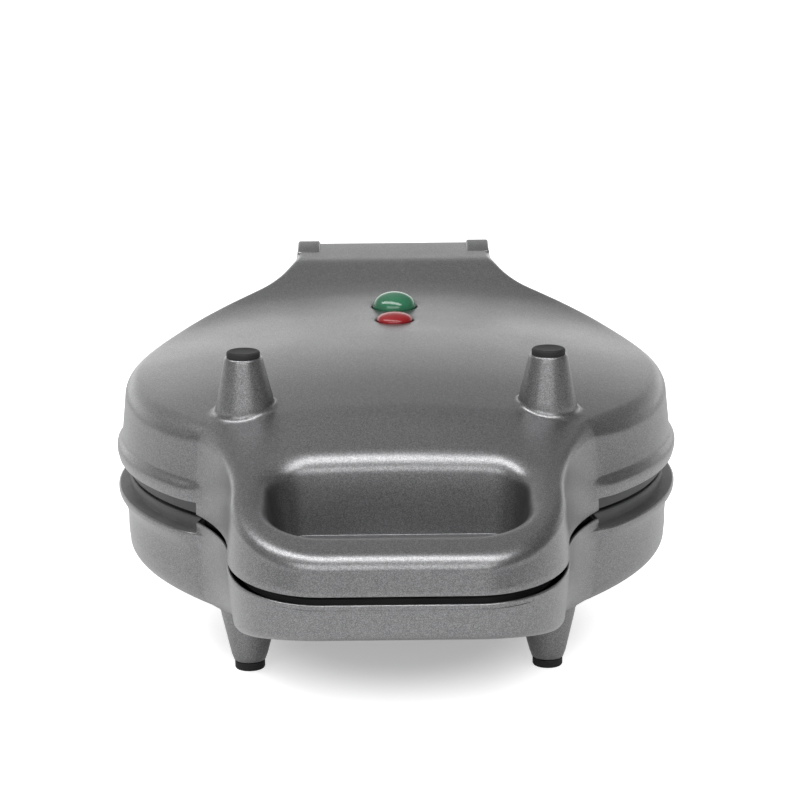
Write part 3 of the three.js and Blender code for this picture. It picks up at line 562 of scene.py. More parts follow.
def newFinish(name, **sockets):
    material = bpy.data.materials.new(name)
    material.use_nodes = True
    tree = material.node_tree
    shader = tree.nodes["Principled BSDF"]
    for key, value in sockets.items():
        shader.inputs[key.replace("_", " ")].default_value = value
    return material, tree, shader


def useGroup(tree, group, **values):
    node = tree.nodes.new("ShaderNodeGroup")
    node.node_tree = group
    for key, value in values.items():
        node.inputs[key].default_value = value
    return node


def shade(tree, factor, dark, light, target, low=0.0, high=1.0):
    # a factor drives a colour or a number between two ends
    if isinstance(dark, tuple):
        share = addRange(tree, factor, low, high, 0, 1, "LINEAR")
        blend = addNode(tree, "ShaderNodeMix", [(share, 0)], data_type="RGBA")
        blend.inputs[6].default_value, blend.inputs[7].default_value = (*dark, 1), (*light, 1)
        tree.links.new(blend.outputs[2], target)
    else:
        tree.links.new(addRange(tree, factor, low, high, dark, light, "LINEAR"), target)


def bumpFrom(tree, height, strength, distance, shader):
    bump = addNode(tree, "ShaderNodeBump", [(height, "Height")], in_Strength=strength, in_Distance=distance)
    tree.links.new(bump.outputs["Normal"], shader.inputs["Normal"])


def makePaint(name, dark, light, rough):
    # metallic paint: grey base with fine bright flakes under a satin clear coat
    paint, tree, shader = newFinish(name, Metallic=0.92, Coat_Weight=0.08, Coat_Roughness=0.25)
    flakes = useGroup(tree, flakeGroup, Scale=4200, Cloud=35)
    shade(tree, flakes.outputs["Speckle"], dark, light, shader.inputs["Base Color"], 0.08, 0.5)
    shade(tree, flakes.outputs["Cloud"], rough - 0.02, rough + 0.03, shader.inputs["Roughness"], 0.3, 0.7)
    bumpFrom(tree, flakes.outputs["Height"], 0.1, 0.00008, shader)
    return paint


def makePlastic(name, dark, light, rough, scale=900, strength=0.12):
    plastic, tree, shader = newFinish(name, Specular_IOR_Level=0.4)
    grain = useGroup(tree, grainGroup, Scale=scale, Waves=50)
    shade(tree, grain.outputs["Waves"], dark, light, shader.inputs["Base Color"], 0.3, 0.7)
    shade(tree, grain.outputs["Height"], rough - 0.06, rough + 0.06, shader.inputs["Roughness"], 0.3, 0.7)
    bumpFrom(tree, grain.outputs["Height"], strength, 0.0002, shader)
    return plastic


def makeMetal(name, dark, light, rough, stretch, scale=700):
    metal, tree, shader = newFinish(name, Metallic=1)
    brush = useGroup(tree, brushGroup, Scale=scale, Stretch=stretch)
    shade(tree, brush.outputs["Stain"], dark, light, shader.inputs["Base Color"], 0.3, 0.7)
    shade(tree, brush.outputs["Lines"], rough - 0.08, rough + 0.1, shader.inputs["Roughness"], 0.25, 0.75)
    bumpFrom(tree, brush.outputs["Lines"], 0.1, 0.00015, shader)
    return metal


def makeLens(name, deep, pale, rough, coat=0.5):
    glass, tree, shader = newFinish(name, Roughness=rough, IOR=1.49, Transmission_Weight=0.3,
                                    Coat_Weight=coat, Coat_Roughness=0.06)
    grain = useGroup(tree, grainGroup, Scale=260, Waves=90)
    shade(tree, grain.outputs["Waves"], deep, pale, shader.inputs["Base Color"], 0.25, 0.75)
    bumpFrom(tree, grain.outputs["Waves"], 0.05, 0.0001, shader)
    return glass


finishes = {
    "shell": makePaint("satinGunmetalPaint", (0.145, 0.145, 0.148), (0.285, 0.285, 0.29), 0.33),
    "frame": makePlastic("blackFramePlastic", (0.014, 0.014, 0.015), (0.026, 0.026, 0.028), 0.5),
    # dark plastic for the sunk band under the lid's bead and over the base's lip; its darkness there is
    # partly painted shade under the overhang, and the hinge lugs use it as plain dark plastic
    "band": makePlastic("darkPlasticAndPaintedShade", (0.05, 0.05, 0.051), (0.075, 0.075, 0.077), 0.5),
    "plate": makePlastic("coatedCastPlate", (0.018, 0.018, 0.02), (0.035, 0.035, 0.037), 0.36, 1500, 0.2),
    "rubber": makePlastic("blackRubber", (0.007, 0.007, 0.008), (0.014, 0.014, 0.015), 0.72, 1800, 0.25),
    "steel": makeMetal("platedSteel", (0.45, 0.46, 0.48), (0.62, 0.63, 0.65), 0.3, (1, 1, 0.05)),
    "heater": makeMetal("heaterSheath", (0.14, 0.13, 0.13), (0.3, 0.27, 0.25), 0.42, (1, 0.2, 1), 500),
    "pan": makeMetal("rolledAluminium", (0.6, 0.61, 0.62), (0.78, 0.79, 0.8), 0.28, (1, 0.03, 1)),
    "ceramic": makePlastic("thermostatCeramic", (0.55, 0.52, 0.46), (0.68, 0.65, 0.6), 0.45, 700, 0.1),
    "fuse": makeMetal("fuseCase", (0.55, 0.5, 0.4), (0.7, 0.66, 0.55), 0.3, (0.05, 1, 1)),
    "green": makeLens("greenLens", (0.012, 0.12, 0.055), (0.03, 0.2, 0.1), 0.14),
    "red": makeLens("redLens", (0.26, 0.002, 0.006), (0.4, 0.006, 0.012), 0.25, 0.12),
    "lamp": makeLens("lampGlass", (0.6, 0.5, 0.4), (0.8, 0.72, 0.62), 0.08),
}
print("finishes made:", len(finishes))


# lid shell: bead round its side, recess in the handle, two pegs, seats for the lenses, skirt over the hinge
lidShell = {
    "wall": 1.6, "draft": 1.6, "crownSpacing": 3.2,
    # level, edge inset, sunk skirt, proud bead
    "rows": [(1.55, 0.5, 2.4), (1.7, 0.15, 2.4), (2.05, 0, 2.4), (5.9, 0, 2.4), (6.3, 0, 2.3), (6.45, 0, 1.5),
             (6.5, 0, 0.4, 0.6), (6.52, 0, 0, 1.2), (6.6, 0, 0, 1.5), (6.85, 0, 0, 1.65), (7.3, 0, 0, 1.75),
             (8.2, 0, 0, 1.95), (9.2, 0, 0, 2.2), (10.2, 0, 0, 2.25), (11.1, 0, 0, 2.2), (12, 0, 0, 1.95),
             (12.7, 0, 0, 1.5), (13.3, 0, 0, 1.0), (13.9, 0, 0, 0.5), (14.5, 0, 0, 0.15), (15.2,)],
    "rear": fullRear, "bandRows": 5, "bandDrop": 0.45, "skirtDrop": 5, "skirtStart": 117, "skirtBlend": 6,
    "well": {"width": 93, "length": 48, "front": 156.5, "corners": {-1: 21, 1: 15}, "floor": 64.1, "draft": 3,
             "rimOut": 6.5, "rimIn": 0.6, "rimDrop": 6, "foot": 0.25, "footRise": 0.25},
    "peg": {"across": 57, "forward": 67.4, "base": 10.9, "flare": 1.7, "shoulder": 120.4,
            "sides": 64, "hole": 3.05, "holeDepth": 5.3,
            "end": [(7.3, 119.5), (7.18, 119.95), (6.9, 120.28), (6.55, 120.4), (2, 120.4)]},
    "ear": {"inner": 33, "outer": 43, "front": 125, "back": 139, "proud": 1.68, "frontProud": 0.15,
            "sunk": 2.2, "soft": 0.9},
    "lenses": {"ready": (58, 9.2), "power": (33, 7.4)},
    # the seat round a lens: distance out from it, depth
    "seat": [(1.2, 0), (0.85, 0.08), (0.6, 0.35), (0.42, 0.8), (0.35, 1.6)], "seatSides": 56,
    "lensHole": {"share": 0.66, "gap": 0.3, "below": 9, "depth": 12},
}
pinHole = {"radius": 2.8, "lid": 50, "lug": 60}


def sunkFaces(count, rows):
    # numbers of the wall's faces in the sunk band of the round body; they take the darker material, which is
    # partly painted shade under the overhang
    last = len(stations) - 1
    found = []
    for k in range(count):
        ends = [min(i, 2 * last - i) for i in (k, (k + 1) % count)]
        if all(sharp[i] for i in ends):
            found += [level * count + k for level in range(rows)]
    return found


def rowsOf(spec):
    # what a row leaves out is 0; the last of its six values asks for the long rear
    padded = [row + (0,) * (6 - len(row)) for row in spec["rows"]]
    return [(*row[:5], fullRear if row[5] else spec["rear"]) for row in padded]


def wellRing(spec, inset, heightAt):
    middle = spec["front"] - spec["length"] / 2

    def cornerPoint(sideX, sideY, turn):
        corner = spec["corners"][sideY]
        return (sideX * (spec["width"] / 2 - corner) + (corner - inset) * cos(turn),
                sideY * (spec["length"] / 2 - corner) + (corner - inset) * sin(turn) - middle)

    sides = [(1, -1), (1, 1), (-1, 1), (-1, -1)]
    plain = []
    for quarter, (sideX, sideY) in enumerate(sides):
        plain += [cornerPoint(sideX, sideY, (quarter - 1 + step / 10) * pi / 2) for step in range(11)]
        end = cornerPoint(*sides[(quarter + 1) % 4], quarter * pi / 2)
        pieces = 16 if quarter in (1, 3) else 4
        start = plain[-1]
        plain += [tuple(mix(a, b, k / pieces) for a, b in zip(start, end)) for k in range(1, pieces)]
    return [(x, y, heightAt(x, y)) for x, y in plain]


def wellFeature(spec):
    rimOut, rimIn, drop, draft = spec["rimOut"], spec["rimIn"], spec["rimDrop"], spec["draft"]
    footTop = spec["floor"] + spec["footRise"]
    rings = [wellRing(spec, (rimOut + rimIn) * sin(turn) - rimOut,
                      lambda x, y, t=turn: skinHeight(lid, x, y) - drop * (1 - cos(t)))
             for turn in quarterTurns(8)]
    rings += [wellRing(spec, mix(rimIn, draft, share),
                       lambda x, y, s=share: mix(skinHeight(lid, x, y) - drop, footTop, s))
              for share in [step / 6 for step in range(1, 7)]]
    rings += [wellRing(spec, draft + spec["foot"] * (1 - cos(turn)),
                       lambda x, y, t=turn: footTop - spec["footRise"] * sin(t))
              for turn in quarterTurns(7, 1)]
    return {"rings": rings, "floor": lambda x, y: spec["floor"]}


farAway = 300


def hitHeight(surface, half, x, y):
    # height of the moulded skin under or over a point, read from the skin itself
    hit, spot, _, _ = surface.ray_cast(place(x, y, farAway * half["side"]), Vector((0, 0, -half["side"])))
    return spot.z / mm if hit else skinHeight(half, x, y)


def closedMesh(name, rings, flip):
    # rings stacked into a solid with both ends closed
    verts, faces = [], []
    end = stackRings(verts, faces, rings, flip)
    closeRing(verts, faces, end, flip)
    closeRing(verts, faces, list(range(len(rings[0]))), not flip)
    return meshObject(name, verts, faces)


# a peg or foot starts inside the skin; radius over the flare, height over the skin
postRoot = {"middle": (2, -3.2), "inside": (0.35, -3.2), "edge": (0.35, -0.25), "stretch": 1.5, "lift": 0.03}


def makePost(name, surface, half, side, spec):
    # a hollow flare grows out of the skin, then a cone and its end from (radius, height) pairs
    middle, up = (side * spec["across"], -spec["forward"]), half["side"]

    def onSkin(reach, rise):
        return [(x, y, hitHeight(surface, half, x, y) + up * rise)
                for x, y in circle(*middle, reach, spec["sides"])]

    def level(reach, height):
        return [(x, y, height) for x, y in circle(*middle, reach, spec["sides"])]

    base, flare, profile = spec["base"], spec["flare"], spec["end"]
    rings = [onSkin(*postRoot["middle"])]
    rings += [onSkin(base + flare + out, rise) for out, rise in (postRoot["inside"], postRoot["edge"])]
    rings += [onSkin(base + flare * (1 - sin(turn)),
                     flare * postRoot["stretch"] * (1 - cos(turn)) + postRoot["lift"])
              for turn in quarterTurns(8)]
    last, tip = rings[-1], level(*profile[0])
    rings += [[tuple(mix(a, b, step / 9) for a, b in zip(p, q)) for p, q in zip(last, tip)]
              for step in range(1, 10)]
    rings += [level(reach, height) for reach, height in profile[1:]]
    post = closedMesh(name, rings, up < 0)
    editMesh(post, outwards)
    return post


def seatFeature(back, radius):
    rows, sides = lidShell["seat"], lidShell["seatSides"]
    rings = [[(x, y, skinHeight(lid, x, y) - below) for x, y in circle(0, back, radius + reach, sides)]
             for reach, below in rows]
    return {"rings": rings, "floor": lambda x, y: skinHeight(lid, x, y) - rows[-1][1]}


def closeRing(verts, faces, ids, flip):
    middle = [sum(verts[k][axis] for k in ids) / len(ids) for axis in range(3)]
    verts.append(tuple(middle))
    last = len(verts) - 1
    for k in range(len(ids)):
        face = (ids[k], ids[(k + 1) % len(ids)], last)
        faces.append(face[::-1] if flip else face)


def makeSkin(name, spec, half, features, lowest):
    # the outer skin of a half: its wall, its rolled shoulder and its crown
    verts, faces = [], []
    rings = wallRings(half, rowsOf(spec), spec["draft"], lowest)
    flip = half["side"] < 0
    rim = stackRings(verts, faces, rings, flip)
    fillSurface(verts, faces, rim, features, lambda x, y: skinHeight(half, x, y), spec["crownSpacing"], flip)
    shell = meshObject(name, verts, faces, sunkFaces(len(rings[0]), spec["bandRows"]))
    # the second finish darkens the sunk band: partly dark plastic, partly painted shade under the bead and
    # lip
    for finish in ("shell", "band"):
        shell.data.materials.append(finishes[finish])
    return shell


def thicken(shell, wall):
    applyModifier(shell, "SOLIDIFY", thickness=wall * mm, offset=-1, use_rim=True)


def makeEar(side):
    spec = lidShell["ear"]
    near, far = sorted((side * spec["inner"], side * spec["outer"]))
    roof = skinHeight(lid, 0, spec["back"])
    low = skinHeight(lid, 0, spec["front"]) + spec["frontProud"]
    drop = (roof + spec["proud"] - low) / (spec["back"] - spec["front"])
    ear = brick("ear", (near, spec["front"], low - spec["sunk"]), (far, spec["back"], roof + spec["proud"]),
                spec["soft"], 4)
    # the top slopes down to the skin at the front
    for vert in ear.data.vertices:
        if vert.co.z > roof * mm:
            vert.co.z -= drop * ((spec["back"] + middleY) * mm - vert.co.y)
    return ear


def makePinHole(part):
    reach = pinHole[part]
    return rod("pinHole", pinHole["radius"], -reach, reach, 32, (0, hingeY, splitHeight), "X")


def makeLidShell():
    spec = lidShell
    peg, start = spec["peg"], spec["rows"][0][0]

    def lowest(i, x, y):
        blend = smooth((y - spec["skirtStart"]) / spec["skirtBlend"])
        return mix(start - spec["bandDrop"] * sharp[i], -spec["skirtDrop"], blend)

    features = [wellFeature(spec["well"])] + [seatFeature(*seat) for seat in spec["lenses"].values()]
    shell = makeSkin("lidShell", spec, lid, features, lowest)
    pegs = [makePost("peg", shell, lid, side, peg) for side in (-1, 1)]
    thicken(shell, spec["wall"])
    carve(shell, pegs, "UNION")
    stemEnd = peg["shoulder"] - peg["holeDepth"]
    cutters = [makePinHole("lid")]
    cutters += [rod("stemHole", peg["hole"], 0, 9, 32, (side * peg["across"], -peg["forward"], stemEnd))
                for side in (-1, 1)]
    hole = spec["lensHole"]
    cutters += [rod("lensHole", radius * hole["share"] + hole["gap"], 0, hole["depth"], 32,
                    (0, back, skinHeight(lid, 0, back) - hole["below"]))
                for back, radius in spec["lenses"].values()]
    carve(shell, cutters)
    joinAll(shell, [makeEar(side) for side in (-1, 1)])
    finishPiece(shell, "lid", "shell", "lid_shell", 40)


makeLidShell()
print("lid shell made")


# base shell: lip round its side, block at the rear, front feet, screw holes, cord inlet, hinge lugs
baseShell = {
    "wall": 1.6, "draft": 1.6, "crownSpacing": 4,
    # level, edge inset, sunk band, proud lip, soft inset, long rear
    "rows": [(1.25, 0.8, 2.4), (1.3, 0.5, 2.4), (1.48, 0.22, 2.4), (1.75, 0.06, 2.4), (2.1, 0, 2.4),
             (3.6, 0, 2.4), (4.3, 0, 2.4), (4.6, 0, 2.3), (4.75, 0, 1.9, 0.1), (4.95, 0, 1.0, 0.4),
             (5.2, 0, 0, 0.9), (5.45, 0, 0, 1.6), (5.6, 0, 0, 2.0), (5.8, 0, 0, 2.2), (6.1, 0, 0, 2.25),
             (7.0, 0, 0, 2.2), (7.7, 0, 0, 2.05), (8.6, 0, 0, 1.6), (9.8, 0, 0, 1.05, 0.2),
             (11.3, 0, 0, 0.55, 0.5), (13, 0, 0, 0.2, 0.75), (15, 0, 0, 0.05, 1.0), (18.4, 0, 0, 0, 1.2),
             (19, 0, 0, 0, 1.2), (23, 0, 0, 0, 1.2, 1), (23.6, 0, 0, 0, 1.2, 1)],
    "rear": collarRear, "bandRows": 11, "bandDrop": 1.13, "front": -159.97, "core": (0.996, 0.997, 0.4),
    "foot": {"across": 57, "forward": 75, "base": 10.4, "flare": 1.5, "floor": 3.5, "sides": 56,
             "hole": 2.75, "holeDepth": 4.5,
             "end": [(6.9, 5.9), (6.75, 5.6), (6.1, 3.7), (5.8, 3.5), (2, 3.5)]},
    "inlet": {"height": 21.66, "recess": 8.35, "sleeve": 5.95, "outer": 10.4, "hole": (-4, 6),
              "seat": (-7.2, -2.4)},
    "screws": {"ring": 100.5, "turn": radians(24), "head": 3.5, "shank": 1.85, "seat": 35.6, "hole": (-2, 30),
               "post": 4.3, "postLevels": (5, 49)},
    "lug": {"inner": 30.1, "outer": 38.1, "radius": 7, "root": 113, "under": 9, "over": 2.2, "soft": 0.6},
}


def screwPlaces():
    spec = baseShell["screws"]
    return [(sideX * spec["ring"] * cos(spec["turn"]), sideY * spec["ring"] * sin(spec["turn"]))
            for sideY in (1, -1) for sideX in (-1, 1)]


def extruded(name, outline, low, high):
    # a flat outline in (y, z) pulled along x
    mesh = bpy.data.meshes.new(name)
    mesh.from_pydata([place(low, y, z) for y, z in outline], [], [tuple(range(len(outline)))])
    obj = newObject(name, mesh)
    pull = {"TRANSFORM_OT_translate": {"value": ((high - low) * mm, 0, 0)}}
    editMesh(obj, (bpy.ops.mesh.extrude_region_move, pull), outwards)
    return obj


def makeHingeLug(side):
    spec = baseShell["lug"]
    turns = [radians(-90 + 180 * k / 18) for k in range(19)]
    arc = [(hingeY + spec["radius"] * cos(t), splitHeight + spec["radius"] * sin(t)) for t in turns]
    low, high = [(spec["root"], splitHeight - spec[end]) for end in ("under", "over")]
    lug = extruded("hingeLug", [low] + arc + [high], *sorted((side * spec["inner"], side * spec["outer"])))
    lug.data.materials.append(finishes["band"])
    softenEdges(lug, spec["soft"], 40)
    carve(lug, [makePinHole("lug")])
    return lug


def makeScrewPosts(shellCopy):
    # posts round the screws, cut off where they meet the skin
    spec = baseShell["screws"]
    head, post, shank, seat = spec["head"], spec["post"], spec["shank"], spec["seat"]
    low, high = spec["postLevels"]
    profile = [(head, low), (post, low), (post, high), (shank, high), (shank, seat), (head, seat),
               (head, low)]
    posts = [spun("screwPost", profile, 24, (x, y, 0)) for x, y in screwPlaces()]
    posts = joinAll(posts[0], posts[1:])
    carve(posts, [shellCopy], "INTERSECT")
    return posts


def makeBaseShell():
    spec = baseShell
    screws, inlet, foot, start = spec["screws"], spec["inlet"], spec["foot"], spec["rows"][0][0]
    shell = makeSkin("baseShell", spec, base, [], lambda i, x, y: start - spec["bandDrop"] * sharp[i])
    feet = [makePost("foot", shell, base, side, foot) for side in (-1, 1)]
    # a closed copy of the skin, a little smaller, ends the posts inside the wall
    scaleX, scaleY, rise = spec["core"]
    shrunk = Matrix.Translation((0, 0, rise * mm)) @ Matrix.Diagonal((scaleX, scaleY, 1, 1))
    shellCopy = copied(shell, "skinCopy", shrunk)
    choose(shellCopy)
    bpy.ops.object.mode_set(mode="EDIT")
    bpy.ops.mesh.select_all(action="DESELECT")
    bpy.ops.mesh.select_mode(type="EDGE")
    bpy.ops.mesh.select_non_manifold()
    bpy.ops.mesh.edge_face_add()
    bpy.ops.object.mode_set(mode="OBJECT")
    thicken(shell, spec["wall"])
    carve(shell, feet, "UNION")
    rear = (0, rearWallY, inlet["height"])
    holes = [rod("screwHole", screws["head"], *screws["hole"], 32, (x, y, 0)) for x, y in screwPlaces()]
    holes.append(rod("inletHole", inlet["recess"], *inlet["hole"], 48, rear, "Y"))
    holes += [rod("stemHole", foot["hole"], -2, foot["holeDepth"], 32,
                  (side * foot["across"], -foot["forward"], foot["floor"])) for side in (-1, 1)]
    carve(shell, holes)
    (near, far), sleeve, outer = inlet["seat"], inlet["sleeve"], inlet["outer"]
    seat = [(sleeve, near), (outer, near), (outer, far), (sleeve, far), (sleeve, near)]
    extras = [makeScrewPosts(shellCopy), spun("inletSeat", seat, 48, rear, "Y", 0.3)]
    joinAll(shell, extras + [makeHingeLug(side) for side in (-1, 1)])
    # the lip's front stays inside the CAD box
    for vert in shell.data.vertices:
        vert.co.y = max(vert.co.y, spec["front"] * mm)
    finishPiece(shell, "base", "shell", "base_shell", 40)


makeBaseShell()
print("base shell made")


# rubber caps on the pegs and pads on the four feet
capSpec = {
    "radius": 6.3, "shoulder": 120.42, "stem": 2.9, "stemDepth": 5, "stemTaper": 0.5, "groove": 4.3,
    # inset from the side, height over the shoulder
    "dome": [(0, 0), (0, 1.5), (0.14, 1.85), (0.5, 2.12), (1.0, 2.2), (1.5, 2.14), (2.2, 2.02)],
    "middle": 2.0,
}
padSpec = {
    "radius": 5.75, "stem": 2.6, "chamfer": 0.4, "hollow": 0.25, "front": (3.2, 4), "rear": (4.85, 2.4),
    # inset from the side, height over the ground
    "sole": [(2.2, 0.25), (1.7, 0), (0.8, 0), (0.25, 0.16), (0, 0.6)],
}
sideNames = ("left", "right")
rearFeet = [(-34, 130), (34, 130)]


def makeCap(name, x, y, node):
    spec = capSpec
    r, low, stem = spec["radius"], spec["shoulder"], spec["stem"]
    bottom = low - spec["stemDepth"]
    profile = [(0, bottom), (stem - spec["stemTaper"], bottom), (stem, low - spec["groove"]), (stem, low)]
    profile += [(r - inset, low + rise) for inset, rise in spec["dome"]] + [(0, low + spec["middle"])]
    finishPiece(spun(name, profile, 48, (x, y, 0)), "lid", "rubber", node, 40)


def makePad(name, x, y, node, top, stemDepth):
    spec = padSpec
    r, stem, chamfer = spec["radius"], spec["stem"], spec["chamfer"]
    profile = [(0, spec["hollow"])] + [(r - inset, height) for inset, height in spec["sole"]]
    profile += [(r, top), (stem, top), (stem, top + stemDepth - chamfer), (stem - chamfer, top + stemDepth),
                (0, top + stemDepth)]
    finishPiece(spun(name, profile, 48, (x, y, 0)), "base", "rubber", node, 40)


for side, way in zip(sideNames, (-1, 1)):
    pegPlace, footPlace = [(way * spec["across"], -spec["forward"])
                           for spec in (lidShell["peg"], baseShell["foot"])]
    makeCap(f"pegCap_{side}", *pegPlace, f"peg_cap_{side}")
    makePad(f"frontPad_{side}", *footPlace, f"front_foot_pad_{side}", *padSpec["front"])
print("rubber caps and front pads made")


# domed lenses over the two lamps
lensSpec = {
    "ready": {"dome": 6.0, "finish": "green"}, "power": {"dome": 3.0, "finish": "red"},
    # inset from the side, height over the skin
    "flange": [(0, -1.1), (0.3, -1.4)], "wall": 1.3, "ceiling": (-0.6, -0.4),
}


def makeLensPiece(kind):
    node = f"{kind}_lens"
    back, r = lidShell["lenses"][kind]
    rise, stem, wall = lensSpec[kind]["dome"], r * lidShell["lensHole"]["share"], lensSpec["wall"]
    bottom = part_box(node)[0].z / mm
    rim = skinHeight(lid, 0, back)
    profile = [(0, rim + rise)] + [(r * sin(turn), rim + rise * cos(turn)) for turn in quarterTurns(14, 1)]
    profile += [(r - inset, rim + below) for inset, below in lensSpec["flange"]]
    side, middle = lensSpec["ceiling"]
    profile += [(stem, profile[-1][1]), (stem, bottom), (stem - wall, bottom), (stem - wall, rim + side),
                (0, rim + middle)]
    lens = spun(f"{kind}LensDome", profile, 64, (0, back, 0))
    finishPiece(lens, "lid", lensSpec[kind]["finish"], node, 45)


for kind in lidShell["lenses"]:
    makeLensPiece(kind)
print("lenses made")


# pieces behind the plane where the halves meet: modelled once over it, mirrored for the base
overLid = Matrix.Identity(4)
overBase = Matrix.Translation((0, 0, 2 * splitHeight * mm)) @ Matrix.Diagonal((1, 1, -1, 1))
halves = (("upper", "lid", overLid), ("lower", "base", overBase))
plateScrews = [(-28, 0), (28, 0)]


def atLevel(level):
    return splitHeight + level


def levelRing(x, y, radius, count, level):
    return [(px, py, atLevel(level)) for px, py in circle(x, y, radius, count)]


def makeBoth(name, model, finish, node, angle=35):
    # one modelled piece behind each plate: the lid's own, and its mirrored twin in the base
    for label, body, matrix in halves:
        finishPiece(copied(model, f"{label}{name}", matrix), body, finish, f"{label}_{node}", angle)
    bpy.data.objects.remove(model)


# cast plates with rows of round cups, a raised rim and a flange under the frame
cupPlate = {
    "radius": 93, "rim": 4.6, "flange": 95.4, "flangeTop": 3.2, "flangeBack": 6.5, "soft": 0.3, "cup": 12,
    "pitch": 27.5, "steps": range(-3, 4), "sides": 36, "around": 144, "spacing": 7, "web": 2.5,
    # distance out from the cup's side, depth
    "mouth": [(0.7, 0), (0.35, 0.06), (0.14, 0.22), (0.02, 0.5)],
    # the cup's wall in degrees round a middle a little above the web
    "wall": (7, 15, 25, 36, 48, 60, 72, 82), "middle": 0.3,
    # distance out from the body's side, level
    "backEdge": [(-2.3, 17), (-1.6, 16.4)], "topEdge": [(0, 0.8), (-0.15, 0.45), (-0.5, 0.3)],
    # inset from the rim's inner side, level
    "innerEdge": [(-0.6, 0.3), (-0.15, 0.45), (0.1, 0.8), (0.6, 2), (0.85, 2.35), (1.3, 2.5)],
    "boss": [(1.8, 17.4), (1.8, 23.6), (2.1, 23.9), (4, 23.9), (4.3, 23.6), (4.6, 17.6), (5.2, 16.9),
             (1.8, 16.9), (1.8, 17.4)],
}


def cupPlaces():
    spec = cupPlate
    places = [((across + up / 2) * spec["pitch"], up * spec["pitch"] * sqrt(3) / 2)
              for across in spec["steps"] for up in spec["steps"]]
    return [(x, y) for x, y in places if hypot(x, y) + spec["cup"] < spec["radius"] - spec["rim"]]


def cupFeature(x, y):
    spec = cupPlate
    radius, turns = spec["cup"], [radians(turn) for turn in spec["wall"]]
    rows = [(radius + out, depth) for out, depth in spec["mouth"]]
    rows += [(radius * cos(turn), radius * sin(turn) - spec["middle"]) for turn in turns]
    return {"rings": [levelRing(x, y, reach, spec["sides"], spec["web"] + depth) for reach, depth in rows]}


def makeCupPlate():
    spec = cupPlate
    r, inner, flange, soft = spec["radius"], spec["radius"] - spec["rim"], spec["flange"], spec["soft"]
    top, back = spec["flangeTop"], spec["flangeBack"]
    profile = [(r + out, level) for out, level in spec["backEdge"]]
    profile += [(r, back + soft), (r + soft, back), (flange - soft, back), (flange, back - soft),
                (flange, top + soft), (flange - soft, top), (r, top)]
    profile += [(r + out, level) for out, level in spec["topEdge"]]
    profile += [(inner - inset, level) for inset, level in spec["innerEdge"]]
    verts, faces = [], []
    rings = [levelRing(0, 0, reach, spec["around"], level) for reach, level in profile]
    rim = stackRings(verts, faces, rings, True)
    closeRing(verts, faces, list(range(spec["around"])), False)
    fillSurface(verts, faces, rim, [cupFeature(x, y) for x, y in cupPlaces()],
                lambda x, y: atLevel(spec["web"]), spec["spacing"], True)
    plate = meshObject("cupPlate", verts, faces)
    bosses = [spun("boss", spec["boss"], 32, (x, y, splitHeight)) for x, y in plateScrews]
    return joinAll(plate, bosses)


makeBoth("CupPlate", makeCupPlate(), "plate", "cup_plate", 40)
print("cup plates made, cups in each:", len(cupPlaces()))


# moulded frames round the plates; the lid's one lets the finger recess through
innerFrame = {
    "rows": [(2.9, 4.35), (0.7, 4.35), (0.3, 4.75)],  # level, inset
    "plateHole": [(0, -3), (93.8, -3), (93.8, 0.3), (93.3, 0.8), (93.3, 5), (0, 5)],
    "headHole": [(0, -3), (3.5, -3), (3.5, 2.3), (1.8, 2.3), (1.8, 5), (0, 5)],
    "boss": [(0, 2.6), (4.9, 2.6), (4.3, 3.4), (4.3, 11.1), (4.0, 11.4), (1.8, 11.4), (1.8, 3.4), (0, 3.4)],
    "passage": 0.4,
}


def makeFrame(label, body):
    spec = innerFrame
    rings = [mirrored([(*outlinePoint(station, inset, collarRear), atLevel(level)) for station in stations])
             for level, inset in spec["rows"]]
    sheet = closedMesh("innerFrame", rings, True)
    cutters = [spun("plateHole", spec["plateHole"], 144, (0, 0, splitHeight))]
    bosses = []
    if body == "lid":
        steps = [wellRing(lidShell["well"], spec["passage"], lambda x, y, z=z: atLevel(z)) for z in (-3, 6)]
        cutters.append(closedMesh("passage", steps, False))
        cutters += [spun("headHole", spec["headHole"], 32, (x, y, splitHeight)) for x, y in screwPlaces()]
    else:
        bosses = [spun("frameBoss", spec["boss"], 32, (x, y, splitHeight)) for x, y in screwPlaces()]
    carve(sheet, cutters)
    if bosses:
        joinAll(sheet, bosses)
    if body == "base":
        sheet.data.transform(overBase)
        sheet.data.flip_normals()
    sheet.name = f"{label}InnerFrame"
    finishPiece(sheet, body, "frame", f"{label}_frame", 30)
    for face in sheet.data.polygons:
        face.use_smooth = face.use_smooth and abs(face.normal.z) < 0.99


for label, body, _ in halves:
    makeFrame(label, body)
print("inner frames made")


# sheathed heating tubes bent into an open ring, with their terminal pins
heaterSpec = {
    "ring": 58.03, "level": 20.6, "tube": 3.25, "open": 14, "bend": 6.6, "legTop": 33.8,
    "pin": [(0, -1.2), (2.4, -1.2), (2.4, -0.05), (1.1, 0.1), (1.1, 0.2), (0, 0.25)],
}


def heaterPath():
    spec = heaterSpec
    ring, level = spec["ring"], spec["level"]
    foot = level + spec["bend"]
    start = spec["open"] + degrees(spec["bend"] / ring)

    def spot(turn, height):
        return Vector((ring * sin(radians(turn)), ring * cos(radians(turn)), atLevel(height)))

    leg, corner, first = spot(spec["open"], foot), spot(spec["open"], level), spot(start, level)
    points = [spot(spec["open"], spec["legTop"])]
    points += [leg * (1 - s) ** 2 + corner * 2 * s * (1 - s) + first * s * s
               for s in [k / 6 for k in range(7)]]
    points += [spot(mix(start, 180, k / 36), level) for k in range(1, 37)]
    return points + [Vector((-p.x, p.y, p.z)) for p in reversed(points[:-1])]


